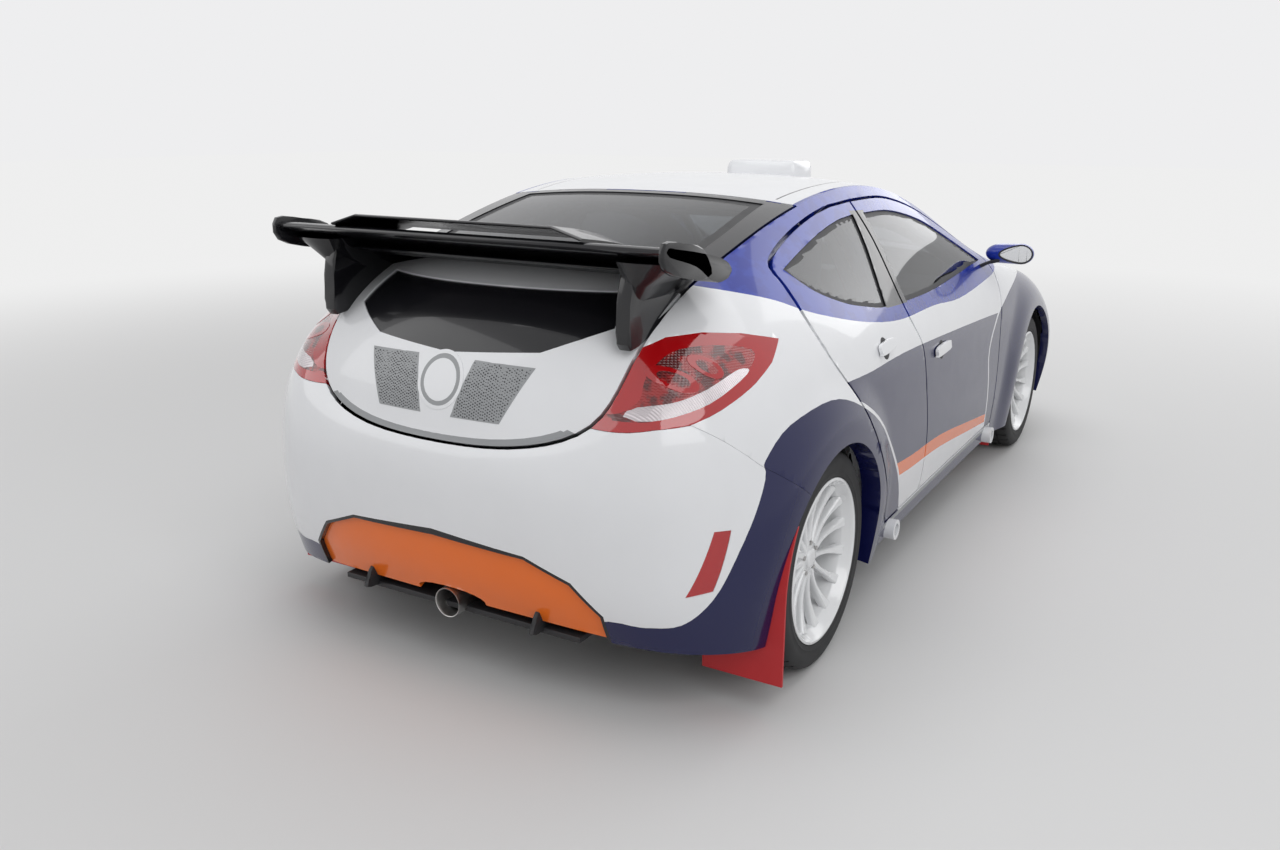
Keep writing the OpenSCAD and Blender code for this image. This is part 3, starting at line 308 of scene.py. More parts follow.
def trim(bm, poly, view, inside=True, where=None):
    """Keeps what lies inside the outline, or outside it."""
    cut(bm, poly, view, where=where)
    p, q = AXES[view]
    gone = []
    for f, c in centres(bm):
        if where and not where(c):
            if inside:
                gone.append(f)
        elif contains(poly, c[p] / MM, c[q] / MM) != inside:
            gone.append(f)
    bmesh.ops.delete(bm, geom=gone, context="FACES")


def clear(bm, view, *outlines, where=None):
    """Removes what lies inside each outline."""
    for outline in outlines:
        trim(bm, outline, view, False, where=where)


def paint(bm, poly, view, index, where=None):
    """Gives the faces inside an outline a material, with a sharp edge."""
    cut(bm, poly, view, where=where)
    p, q = AXES[view]
    for f, c in centres(bm):
        if (where is None or where(c)) and contains(poly, c[p] / MM, c[q] / MM):
            f.material_index = index


def soften(bm, edges, size, segments=2):
    """Rounds edges, by a size in millimetres."""
    bmesh.ops.bevel(bm, geom=list(edges), offset=size * MM, offset_type="OFFSET", segments=segments,
                    profile=0.5, affect="EDGES", clamp_overlap=True, material=-1)


def dress(verts, index):
    """Gives the faces round some vertices a material."""
    for v in verts:
        for f in v.link_faces:
            f.material_index = index


def outwards(bm):
    bmesh.ops.recalc_face_normals(bm, faces=bm.faces[:])


def add(bm, part):
    """Joins one mesh into another."""
    mesh = bpy.data.meshes.new("part")
    part.to_mesh(mesh)
    part.free()
    bm.from_mesh(mesh)
    bpy.data.meshes.remove(mesh)


def steady_normal(v):
    """Normal of a vertex, or the mean of its neighbours' where a sliver turns it away from them."""
    around = sum((e.other_vert(v).normal for e in v.link_edges), Vector()).normalized()
    return v.normal.copy() if v.normal.dot(around) > 0.6 else around


def thicken(bm, top, depth, edge=1.6, lining=1):
    """Gives a sheet its thickness: from top to depth below the skin, with softened edges."""
    bmesh.ops.remove_doubles(bm, verts=bm.verts[:], dist=0.0007)
    bm.normal_update()
    normals = {v: steady_normal(v) for v in bm.verts}
    for v, n in normals.items():
        v.co -= n * top * MM
    rim = [e for e in bm.edges if e.is_boundary]
    both = bmesh.ops.duplicate(bm, geom=bm.verts[:] + bm.edges[:] + bm.faces[:])
    twin = both["vert_map"]
    inner = [g for g in both["geom"] if isinstance(g, bmesh.types.BMFace)]
    for v, n in normals.items():
        twin[v].co -= n * (depth - top) * MM
    bmesh.ops.reverse_faces(bm, faces=inner)
    for f in inner:
        f.material_index = lining
    for e in rim:
        f = e.link_faces[0]
        a, b = e.verts
        for loop in f.loops:
            if loop.edge == e:
                a, b = loop.vert, loop.link_loop_next.vert
        wall = bm.faces.new((b, a, twin[a], twin[b]))
        wall.material_index = f.material_index
    if edge:
        live = [e for e in rim if e.is_valid]
        soften(bm, live, edge)


def finish_mesh(name, bm, materials, body, nodes=(), smooth=True, angle=0.6):
    """Turns bm into a piece that rides on a body and stands for CAD nodes."""
    if smooth:
        for f in bm.faces:
            f.smooth = True
        for e in bm.edges:
            e.smooth = len(e.link_faces) == 2 and e.calc_face_angle(0) < angle
    mesh = bpy.data.meshes.new(name)
    bm.to_mesh(mesh)
    bm.free()
    for m in materials:
        mesh.materials.append(m)
    piece = bpy.data.objects.new(name, mesh)
    bpy.context.scene.collection.objects.link(piece)
    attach(piece, body)
    if nodes:
        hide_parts(*nodes)
    return piece


# ---- Materials ----
def node(tree, kind, **values):
    made = tree.nodes.new(kind)
    for key, value in values.items():
        if key in made.inputs:
            made.inputs[key].default_value = value
        else:
            setattr(made, key, value)
    return made


def ranged(tree, source, low, high, ends="To", **how):
    """Maps a value to the range low to high or, with ends "From", that range to 0 to 1."""
    made = node(tree, "ShaderNodeMapRange", **how)
    made.inputs[ends + " Min"].default_value = low
    made.inputs[ends + " Max"].default_value = high
    tree.links.new(source, made.inputs["Value"])
    return made.outputs[0]


def finish(name, colour, rough=0.4, spread=0.08, tone=0.12, tone_scale=6.0, grain=0.0, grain_scale=400.0,
           second=None, second_scale=8.0, second_edge=0.5, **principled):
    """A procedural finish: colour and roughness that vary, and a fine grain in the surface."""
    m = bpy.data.materials.new(name)
    m.use_nodes = True
    tree = m.node_tree
    link = tree.links.new
    shader = tree.nodes["Principled BSDF"]
    for key, value in principled.items():
        shader.inputs[key.replace("_", " ")].default_value = value
    place = node(tree, "ShaderNodeTexCoord").outputs["Object"]

    def clouds(scale, detail=3.0):
        made = node(tree, "ShaderNodeTexNoise", Scale=scale, Detail=detail)
        link(place, made.inputs["Vector"])
        return made.outputs["Fac"]

    wide = ranged(tree, clouds(tone_scale), 1 - tone, 1 + tone)
    base = node(tree, "ShaderNodeRGB")
    base.outputs[0].default_value = (*colour, 1)
    source = base.outputs[0]
    if second:
        pick = ranged(tree, clouds(second_scale, 5.0), second_edge - 0.04, second_edge + 0.04, "From")
        mix = node(tree, "ShaderNodeMix", data_type="RGBA")
        mix.inputs[7].default_value = (*second, 1)
        link(pick, mix.inputs[0])
        link(source, mix.inputs[6])
        source = mix.outputs[2]
    shade = node(tree, "ShaderNodeVectorMath", operation="SCALE")
    link(source, shade.inputs[0])
    link(wide, shade.inputs["Scale"])
    link(shade.outputs[0], shader.inputs["Base Color"])
    link(ranged(tree, clouds(14.0), max(0.0, rough - spread), rough + spread), shader.inputs["Roughness"])
    if grain:
        bump = node(tree, "ShaderNodeBump", Strength=1.0, Distance=grain)
        link(clouds(grain_scale, 2.0), bump.inputs["Height"])
        link(bump.outputs[0], shader.inputs["Normal"])
    return m


def waves(m, scale, depth, directions=("X", "Z")):
    """Adds crossed threads or fine ridges to a finish."""
    tree = m.node_tree
    link = tree.links.new
    shader = tree.nodes["Principled BSDF"]
    place = node(tree, "ShaderNodeTexCoord").outputs["Object"]
    height = None
    for way in directions:
        wave = node(tree, "ShaderNodeTexWave", bands_direction=way, Scale=scale)
        link(place, wave.inputs["Vector"])
        if height:
            both = node(tree, "ShaderNodeMath", operation="MAXIMUM")
            link(height, both.inputs[0])
            link(wave.outputs["Fac"], both.inputs[1])
            height = both.outputs[0]
        else:
            height = wave.outputs["Fac"]
    bump = node(tree, "ShaderNodeBump", Strength=1.0, Distance=depth)
    link(height, bump.inputs["Height"])
    link(bump.outputs[0], shader.inputs["Normal"])
    return m


def car_paint(name, colour, **more):
    return finish(name, colour, rough=0.24, spread=0.05, tone=0.03, grain=0.00002, grain_scale=900,
                  Coat_Weight=0.55, Coat_Roughness=0.04, Specular_IOR_Level=0.25, **more)


WHITE = car_paint("white_paint", (0.80, 0.81, 0.83))
BLUE = car_paint("blue_paint", (0.010, 0.026, 0.29), second=(0.014, 0.038, 0.35), second_scale=16)
NAVY = car_paint("navy_paint", (0.006, 0.008, 0.062))
ORANGE = car_paint("orange_paint", (0.88, 0.17, 0.015))
BLACK_GLOSS = car_paint("gloss_black", (0.008, 0.008, 0.010))
GREY_STRIP = finish("grey_strip", (0.30, 0.31, 0.32), 0.35, grain=0.00002)
BLACK_TRIM = finish("black_trim", (0.016, 0.016, 0.018), 0.55, grain=0.00012, grain_scale=700)
TRIM_PANEL = finish("door_trim", (0.030, 0.030, 0.034), 0.7, grain=0.00025, grain_scale=420)
LINER = finish("felt_liner", (0.014, 0.014, 0.015), 0.9, tone=0.3, tone_scale=60, grain=0.0006,
               grain_scale=260)
UNDERBODY = finish("underbody", (0.045, 0.046, 0.05), 0.6, tone=0.25, grain=0.0003, grain_scale=90)
CLEAR = finish("windshield_glass", (0.72, 0.78, 0.79), 0.02, 0.01, 0.02, Transmission_Weight=1.0, IOR=1.46)
TINT = finish("tinted_glass", (0.13, 0.14, 0.155), 0.02, 0.01, 0.03, Transmission_Weight=1.0, IOR=1.46)
REFLECTOR = finish("lamp_reflector", (0.72, 0.73, 0.75), 0.14, Metallic=1.0)
RED_LENS = finish("red_lens", (0.62, 0.008, 0.012), 0.06, 0.03, 0.05, Coat_Weight=1.0,
                  Transmission_Weight=0.35)
RED_DEEP = waves(finish("red_deep", (0.34, 0.008, 0.008), 0.12, Coat_Weight=1.0,
                        second=(0.10, 0.003, 0.004), second_scale=22), 55, 0.0012)
REVERSE_LENS = waves(finish("reverse_lens", (0.55, 0.50, 0.52), 0.08, Coat_Weight=1.0, Metallic=0.4),
                     60, 0.001, ("X",))
HEAD_LENS = waves(finish("head_lens", (0.46, 0.49, 0.52), 0.08, Coat_Weight=1.0, Metallic=0.5), 40, 0.001)
TYRE = finish("tyre_rubber", (0.020, 0.020, 0.021), 0.78, 0.1, 0.2, 9.0, 0.0002, 300)
RED_RUBBER = finish("red_rubber", (0.50, 0.018, 0.022), 0.55, 0.1, 0.12, 9.0, 0.0004, 160)
WHEEL_WHITE = finish("wheel_white", (0.80, 0.81, 0.82), 0.26, 0.06, 0.03, grain=0.00002, Coat_Weight=0.8)
STEEL = waves(finish("brushed_steel", (0.50, 0.49, 0.48), 0.32, Metallic=1.0), 90, 0.00006, ("Z",))
DISC = waves(finish("brake_disc", (0.42, 0.42, 0.43), 0.30, Metallic=1.0), 120, 0.00008, ("Z",))
CAST = finish("cast_metal", (0.10, 0.10, 0.105), 0.6, Metallic=0.7, grain=0.0005, grain_scale=220)
ENGINE = finish("engine_metal", (0.28, 0.29, 0.30), 0.5, Metallic=0.8, grain=0.0005, grain_scale=150)
CAGE = finish("cage_paint", (0.78, 0.79, 0.80), 0.35, tone=0.04, grain=0.00004, Coat_Weight=0.4)
SEAT = waves(finish("seat_cloth", (0.022, 0.022, 0.026), 0.85, Sheen_Weight=0.4), 160, 0.0005)
SEAT_EDGE = waves(finish("seat_edge", (0.55, 0.045, 0.02), 0.7, Sheen_Weight=0.3), 160, 0.0004)
SEAT_SHELL = finish("seat_shell", (0.02, 0.02, 0.022), 0.3, grain=0.0001, Coat_Weight=0.6)
GRIP = finish("wheel_grip", (0.02, 0.02, 0.02), 0.75, grain=0.0004, grain_scale=500)
BODY_WORK = [WHITE, TRIM_PANEL, BLUE, NAVY, ORANGE, BLACK_GLOSS, GREY_STRIP]

# ---- Panel outlines, in millimetres, right side ----
DOOR_TOP = [[690, 915], [640, 990], [480, 1062], [260, 1150], [50, 1222], [-160, 1268],
            [-350, 1290], [-600, 1292]]
DOOR_LINE = [[-600, 1292], [-600, 1100], [-589, 950], [-576, 885], [-530, 802], [-503, 665],
             [-466, 517], [-452, 395], [-448, 268]]
DOOR_FRONT = [[606, 268], [590, 460], [606, 683], [660, 840], [690, 915]]
FRONT_DOOR = curved(DOOR_FRONT)[:-1] + curved(DOOR_TOP)[:-1] + curved(DOOR_LINE)
REAR_EDGE = [[-780, 1284], [-940, 1262], [-1145, 1216], [-1318, 1158], [-1345, 1105], [-1376, 1004],
             [-1356, 921], [-1302, 845], [-1185, 702], [-1105, 600], [-1037, 506], [-960, 400],
             [-850, 268]]
REAR_DOOR = [[x - 14 if z >= 885 else x - 9, z] for x, z in reversed(curved(DOOR_LINE))] + [
    [x + (5 if z > 940 and x < -1300 else 0), z] for x, z in curved(REAR_EDGE)]
REAR_DOOR_HOLE = list(reversed(curved(DOOR_LINE))) + curved(REAR_EDGE)
LEFT_DOOR = curved(DOOR_FRONT)[:-1] + curved(DOOR_TOP + [[-780, 1284]]) + curved(
    [[-800, 1100], [-800, 985], [-790, 885], [-770, 700], [-755, 517], [-745, 268]])
WINDOW_TOP = [[560, 985], [450, 1030], [250, 1108], [50, 1180], [-160, 1226], [-350, 1250]]
WINDOW_LOW = [[-250, 957], [100, 968], [350, 980]]
FRONT_WINDOW = curved(WINDOW_TOP + [[-560, 1254]]) + [[-563, 1100]] + curved([[-553, 962]] + WINDOW_LOW)
REAR_WINDOW = curved([[-650, 1254], [-780, 1246], [-940, 1222], [-1145, 1178], [-1290, 1142]]) + curved(
    [[-1262, 1104], [-1205, 1066], [-1065, 1020], [-844, 980], [-768, 974]])
LEFT_WINDOW = curved(WINDOW_TOP + [[-560, 1254], [-745, 1247]]) + [[-762, 1100]] + curved(
    [[-760, 980], [-553, 962]] + WINDOW_LOW)
QUARTER_WINDOW = curved([[-828, 1240], [-940, 1222], [-1145, 1178], [-1290, 1142]]) + curved(
    [[-1262, 1104], [-1205, 1066], [-1065, 1020], [-838, 985]])
BELT = [[900, 100], [900, 925], [560, 945], [-250, 920], [-844, 940], [-1065, 978],
        [-1205, 1020], [-1500, 1130], [-1500, 100]]
QUARTER_SEAM = [[-1410, 325], [-1640, 605], [-1793, 715], [-1878, 792], [-1928, 833]]
LAMP_LOW = [[-1864, 855], [-1802, 878], [-1733, 904], [-1633, 946], [-1551, 994]]
LAMP_HIGH = [[-1655, 1019], [-1741, 1028], [-1822, 1022], [-1879, 1002]]
BODY_SIDE = [[760, 960], [640, 925], [640, 150], [-1050, 150]] + QUARTER_SEAM + LAMP_LOW + LAMP_HIGH + [
    [-1935, 951], [-1990, 1100], [-1900, 1500], [700, 1500]]
TAIL = [[-2400, 150], [-1560, 150]] + QUARTER_SEAM + [[-1989, 824], [-2021, 814], [-2060, 830], [-2400, 900]]
TAIL_LAMP = [[-2100, 790], [-2100, 1100], [-1900, 1100]] + list(reversed(LAMP_HIGH)) + list(
    reversed(LAMP_LOW)) + [[-1928, 833], [-1989, 824], [-2021, 814]]
FENDER = [[1768, 610], [1690, 700], [1570, 790], [1480, 822], [1480, 1000], [1010, 1040],
          [770, 975], [692, 938], [640, 830], [598, 683], [582, 460], [596, 275], [618, 259],
          [618, 150], [860, 150], [1240, 325], [1560, 512]]
HEADLAMP = [[2080, 640], [1950, 600], [1768, 610], [1690, 700], [1570, 790], [1480, 822],
            [1640, 826], [1820, 775], [1960, 730], [2080, 720]]
NOSE = [[2400, 150], [1400, 150], [1240, 325], [1560, 512], [1768, 610], [1950, 600],
        [2080, 640], [2080, 760], [2400, 800]]
FOG_LAMP = [[-1890, 565], [-1929, 567], [-1979, 394], [-1929, 405]]
SILL = [[600, 100], [600, 254], [-860, 254], [-915, 100]]
TAIL_OPENING = mirrored([[0, 468], [300, 455], [430, 405], [505, 320], [515, 100]][::-1])
NOSE_OPENING = mirrored([[0, 610], [330, 600], [470, 470], [420, 300], [300, 255], [0, 255]][::-1])
LOWER_GLASS = mirrored([[425, 1118], [438, 1040], [278, 978], [0, 958]][::-1])
UPPER_GLASS = mirrored([[-1010, 455], [-1300, 470], [-1560, 468], [-1600, 440]], 1)
COWL = mirrored([[1000, 0], [975, 300], [920, 500], [870, 640], [800, 640], [850, 500], [905, 300],
                 [930, 0]], 1)
COWL_BOX = [(690, -560), (1020, -560), (1020, 560), (690, 560)]
HOOD_END, GLASS_START, ROOF_START, GATE_START = 5.4, 6.15, 8.3, 10.65
HOOD_FRONT = FRONT_X + (1940 - FRONT_X) * NOSE_STRETCH
GATE_TOP = -975


def rail_plan(u0, u1, d):
    return [(r[0], max(0.0, r[1] - d)) for r in (rail(u0 + (u1 - u0) * k / 24) for k in range(25))]


def header(d):
    edge = rail(ROOF_START)
    return [(180 + d, 0), (165 + d, 250), (110 + d, 430), (edge[0] + d, edge[1] - 22)]


def hood_line(d):
    front = HOOD_FRONT + d
    line = [p for p in rail_plan(0.2, HOOD_END, -d) if p[0] < front]
    first = next(p for p in rail_plan(0.2, HOOD_END, -d) if p[0] < front)
    return mirrored([(front, 0), (front, first[1] - 6)] + line + [
        (860 - d, 640), (930 - d, 500), (985 - d, 300), (1008 - d, 0)], 1)


def shield_line(d):
    return mirrored([(950 + d, 0), (925 + d, 300), (870 + d, 500), (790 + d, 655 + d)]
                    + rail_plan(GLASS_START, ROOF_START - 0.1, 22 - d) + header(1 - d)[::-1], 1)


def roof_line(d):
    edge = rail(GATE_START)
    return mirrored(header(d) + rail_plan(ROOF_START + 0.1, GATE_START, 14 - d)
                    + [(-968 - d, edge[1] - 14 + d), (-968 - d, 0)], 1)


def gate_line(d):
    half = [(max(0.0, r[1] + d), r[2] - d)
            for r in (rail(GATE_START + (COLS - GATE_START) * k / 32) for k in range(33))]
    return mirrored([(half[0][0], 1600)] + half)


def circle(x, z, r, n=96):
    return [(x + r * math.cos(2 * math.pi * k / n), z + r * math.sin(2 * math.pi * k / n)) for k in range(n)]


def arch_line(x, r):
    top = [(x + r * math.cos(math.pi * k / 48), TYRE_R + r * math.sin(math.pi * k / 48)) for k in range(49)]
    return top + [(x - r, -50), (x + r, -50)]


def above(c):
    return c.z > 0.62


def behind_gate(c):
    return c.x < (GATE_TOP + LID_GAP / 2) * MM


# ---- Livery ----
BLUE_EDGE = curved([[-1700, 1150], [-1640, 1131], [-1531, 1103], [-1440, 1076], [-1328, 1032], [-1116, 981],
                    [-888, 942], [-642, 918], [-268, 910], [61, 892], [502, 908], [720, 925], [800, 960]])
BLUE_AREA = BLUE_EDGE + [[800, 1500], [-1700, 1500]]
REAR_FLARE = curved([[-2056, 150], [-2052, 300], [-2018, 304], [-1972, 314], [-1927, 382], [-1874, 510],
                     [-1788, 676], [-1774, 724], [-1662, 792], [-1444, 815], [-1257, 762], [-1012, 628],
                     [-800, 420], [-700, 262], [-640, 150]])
FRONT_FLARE = curved([[520, 150], [503, 299], [455, 480], [434, 624], [560, 740], [717, 797], [960, 845],
                      [1240, 868], [1480, 822], [1620, 740], [1700, 600], [1760, 400], [1800, 150]])
DOOR_NAVY = curved([[-1400, 842], [-1356, 839], [-1101, 827], [-742, 824], [-178, 799], [609, 760],
                    [780, 740]]) + curved([[780, 330], [494, 330], [218, 365], [-260, 424], [-655, 447],
                                           [-977, 482], [-1100, 560], [-1400, 700]])
STRIPE = curved([[-1000, 484], [-977, 482], [-655, 447], [-260, 424], [218, 365], [494, 330]]) + curved(
    [[494, 292], [218, 322], [-260, 374], [-655, 398], [-960, 430]])
PILLAR = [(-548, 1262), (-662, 1266), (-700, 1180), (-756, 1090), (-790, 975), (-760, 968), (-545, 957)]
WHITE_I, TRIM_I, BLUE_I, NAVY_I, ORANGE_I, BLACK_I, GREY_I = range(7)


def livery(bm, blue=True, band=True, rear=False, front=False):
    """Paints the side: blue above the belt, navy flares with a white line, the door panel and its stripe."""
    if blue:
        paint(bm, BLUE_AREA, "side", BLUE_I)
    if band:
        paint(bm, DOOR_NAVY, "side", NAVY_I)
        paint(bm, STRIPE, "side", ORANGE_I)
    for wanted, flare in ((rear, REAR_FLARE), (front, FRONT_FLARE)):
        if wanted:
            paint(bm, grown(flare, 13), "side", WHITE_I)
            paint(bm, flare, "side", NAVY_I)


# ---- Body panels ----
def body_side(s):
    side = SIDE_NAME[s]
    holes = [FRONT_DOOR, REAR_DOOR_HOLE] if s < 0 else [LEFT_DOOR]
    bm = sheet(s, (-2030, 150), (900, 1500))
    trim(bm, BODY_SIDE, "side")
    clear(bm, "side", *[grown(hole, DOOR_GAP) for hole in holes])
    if s > 0:
        clear(bm, "side", QUARTER_WINDOW)
    clear(bm, "side", arch_line(REAR_X, ARCH_REAR), grown(FENDER, SEAM), grown(SILL, SEAM))
    clear(bm, "plan", shield_line(SEAM), roof_line(SEAM), COWL_BOX, where=above)
    trim(bm, gate_line(LID_GAP / 2), "end", False, where=behind_gate)
    livery(bm, band=False, rear=True)
    thicken(bm, 0, SIDE_DEPTH)
    finish_mesh("body_side_%s_skin" % side, bm, BODY_WORK, "body", ["body_side_" + side])
    for n, hole in enumerate(holes):
        bm = sheet(s, (-1500, 200), (900, 1400))
        trim(bm, grown(hole, DOOR_GAP + 1), "side")
        trim(bm, grown(hole, -42), "side", False)
        for f in bm.faces:
            f.material_index = BLUE_I if f.calc_center_median().z > 0.95 else WHITE_I
        thicken(bm, 66.5, 98)
        finish_mesh("door_frame_%s_%d" % (side, n), bm, BODY_WORK, "body")


def fender(s):
    side = SIDE_NAME[s]
    bm = sheet(s, (500, 150), (1950, 1100))
    trim(bm, FENDER, "side")
    clear(bm, "side", grown(FRONT_DOOR, DOOR_GAP), grown(HEADLAMP, SEAM), grown(NOSE, SEAM),
          arch_line(FRONT_X, ARCH_FRONT))
    clear(bm, "plan", hood_line(LID_GAP / 2), shield_line(SEAM), COWL_BOX, where=above)
    livery(bm, front=True)
    thicken(bm, 0, FENDER_DEPTH)
    finish_mesh("fender_%s_skin" % side, bm, BODY_WORK, "body", ["fender_" + side])


def door(name, s, outline, window, rear=False, front=True):
    bm = sheet(s, (-1450, 200), (760, 1350))
    trim(bm, outline, "side")
    trim(bm, window, "side", False)
    livery(bm, rear=rear, front=front)
    paint(bm, PILLAR, "side", BLACK_I)
    thicken(bm, 0, DOOR_SKIN)
    finish_mesh(name + "_skin", bm, BODY_WORK, name, [name])
    bm = sheet(s, (-1450, 200), (760, 1350))
    trim(bm, grown(outline, -31), "side")
    trim(bm, BELT, "side")
    for f in bm.faces:
        f.material_index = TRIM_I
    trim(bm, window, "side", False)
    thicken(bm, DOOR_SKIN - 1, DOOR_DEPTH, edge=5)
    finish_mesh(name + "_inner", bm, BODY_WORK, name)


def pane(name, s, outline, body, border=16):
    """Window glass with a printed black border."""
    bm = sheet(s, (-1450, 900), (700, 1350))
    trim(bm, grown(outline, -FIT), "side")
    clear_part = grown(outline, -border)
    cut(bm, clear_part, "side")
    thicken(bm, 6, 11, edge=0, lining=0)
    for f, c in centres(bm):
        f.material_index = 0 if contains(clear_part, c.x / MM, c.z / MM) else 1
    finish_mesh(name + "_pane", bm, [TINT, BLACK_TRIM], body, [name])


def top_panel(name, line, low, high, top, depth, mats, body, border=0, where=above):
    """A panel that crosses the middle of the car, cut from above."""
    bm = sheet(0, low, high)
    trim(bm, line, "plan", where=where)
    inner = grown(line, -border)
    if border:
        cut(bm, inner, "plan")
    thicken(bm, top, depth, edge=0 if border else 1.6)
    for f, c in centres(bm):
        if border:
            f.material_index = 0 if contains(inner, c.x / MM, c.y / MM) else 1
    return finish_mesh(name + "_skin", bm, mats, body, [name])


def roof():
    bm = sheet(0, (-1100, 1150), (350, 1500))
    trim(bm, roof_line(0), "plan", where=above)
    for s in (-1, 1):
        arc = curved([(150, s * 330), (-120, s * 430), (-500, s * 478), (-940, s * 470)])
        back = [(x, y - s * 7) for x, y in reversed(arc)]
        paint(bm, arc + back, "plan", BLACK_I)
    thicken(bm, 0, ROOF_DEPTH)
    finish_mesh("roof_skin", bm, BODY_WORK, "body", ["roof_panel"])


def tail_panels():
    bm = sheet(0, (-2200, 680), (-960, 1450))
    trim(bm, gate_line(-LID_GAP / 2), "end", where=behind_gate)
    front = GATE_TOP - LID_GAP / 2
    trim(bm, [(front, -900), (-2300, -900), (-2300, 900), (front, 900)], "plan")
    trim(bm, UPPER_GLASS, "plan", False, where=lambda c: c.z > 1.1 and c.x > -1.62)
    trim(bm, LOWER_GLASS, "end", False, where=lambda c: c.x < -1.7)
    paint(bm, [(-960, -900), (-1690, -900), (-1690, 900), (-960, 900)], "plan", BLACK_I)
    # A grey band, 15 mm wide, along the gate's lower edge below 0.80 m: partly a metal strip, partly the
    # painted shadow of the seam beneath it.
    inner = gate_line(-LID_GAP / 2 - 15)
    cut(bm, inner, "end", where=lambda c: c.x < -1.95 and c.z < 0.83)
    for f, c in centres(bm):
        if c.x < -1.95 and c.z < 0.80 and not contains(inner, c.y / MM, c.z / MM):
            f.material_index = GREY_I
    thicken(bm, 0, GATE_DEPTH)
    finish_mesh("tailgate_skin", bm, BODY_WORK, "tailgate", ["tailgate"])
    top_panel("tailgate_glass_upper", grown(UPPER_GLASS, -FIT), (-1650, 1050), (-960, 1450), PANE_FRONT,
              PANE_BACK, [TINT, BLACK_TRIM], "tailgate", border=34, where=lambda c: c.z > 1.1)
    bm = sheet(0, (-2100, 900), (-1700, 1150))
    trim(bm, grown(LOWER_GLASS, -FIT), "end")
    thicken(bm, PANE_FRONT, PANE_BACK, edge=0, lining=0)
    finish_mesh("tailgate_glass_lower_pane", bm, [BLACK_GLOSS], "tailgate",
                ["tailgate_glass_lower"])


def rear_bumper():
    bm = sheet(0, (-2200, 180), (-1350, 860))
    trim(bm, TAIL, "side")
    trim(bm, gate_line(LID_GAP / 2), "end", False, where=behind_gate)
    trim(bm, TAIL_OPENING, "end", False, where=lambda c: c.x < -1.7)
    clear(bm, "side", arch_line(REAR_X, ARCH_REAR), grown(TAIL_LAMP, SEAM), FOG_LAMP, grown(BODY_SIDE, SEAM))
    livery(bm, blue=False, band=False, rear=True)
    edge = grown(TAIL_OPENING, 9)
    paint(bm, edge, "end", BLACK_I, where=lambda c: c.x < -1.8)
    thicken(bm, 0, BUMPER_DEPTH)
    finish_mesh("rear_bumper_skin", bm, BODY_WORK, "body", ["rear_bumper"])


def front_bumper():
    nose_box = [(1800, -430), (2200, -430), (2200, 430), (1800, 430)]
    bm = sheet(0, (1250, 180), (2200, 860))
    cut(bm, NOSE, "side")
    cut(bm, nose_box, "plan")
    gone = []
    for f, c in centres(bm):
        on_top = contains(nose_box, c.x / MM, c.y / MM) and c.z > 0.56
        if not (contains(NOSE, c.x / MM, c.z / MM) or on_top):
            gone.append(f)
    bmesh.ops.delete(bm, geom=gone, context="FACES")
    trim(bm, hood_line(LID_GAP / 2), "plan", False, where=above)
    trim(bm, NOSE_OPENING, "end", False, where=lambda c: c.x > 1.7)
    trim(bm, arch_line(FRONT_X, ARCH_FRONT), "side", False)
    trim(bm, grown(HEADLAMP, SEAM), "side", False, where=lambda c: abs(c.y) > 0.43 - SEAM * MM)
    livery(bm, blue=False, band=False, front=True)
    thicken(bm, 0, BUMPER_DEPTH)
    finish_mesh("front_bumper_skin", bm, BODY_WORK, "body", ["front_bumper"])


for s in SIDE_NAME:
    body_side(s)
    fender(s)
roof()
tail_panels()
rear_bumper()
front_bumper()
door("door_front_right", -1, FRONT_DOOR, FRONT_WINDOW)
door("door_rear_right", -1, REAR_DOOR, REAR_WINDOW, rear=True, front=False)
door("door_left", 1, LEFT_DOOR, LEFT_WINDOW, rear=True)
pane("door_front_right_glass", -1, FRONT_WINDOW, "door_front_right")
pane("door_rear_right_glass", -1, REAR_WINDOW, "door_rear_right")
pane("door_left_glass", 1, LEFT_WINDOW, "door_left")
pane("quarter_glass_left", 1, QUARTER_WINDOW, "body")
top_panel("windshield", shield_line(0), (-150, 850), (1000, 1400), PANE_FRONT, PANE_BACK,
          [CLEAR, BLACK_TRIM], "body", border=26)
top_panel("hood", hood_line(-LID_GAP / 2), (800, 640), (1990, 1080), 0, HOOD_DEPTH, BODY_WORK, "hood")
top_panel("cowl", COWL, (700, 850), (1100, 1100), 36, 54, [BLACK_TRIM, BLACK_TRIM], "body")

# ---- Lamps and reflectors ----
LAMP_CORE = curved([[-2006, 838], [-1930, 862], [-1866, 882], [-1790, 912], [-1700, 950], [-1668, 982],
                    [-1750, 1000], [-1826, 994], [-1875, 972], [-1920, 938], [-1962, 888]], 3, True)
LAMP_STRIP = curved([[-1996, 842], [-1930, 858], [-1866, 878], [-1790, 908], [-1720, 938], [-1745, 944],
                     [-1800, 928], [-1862, 906], [-1924, 886], [-1975, 872]], 3, True)


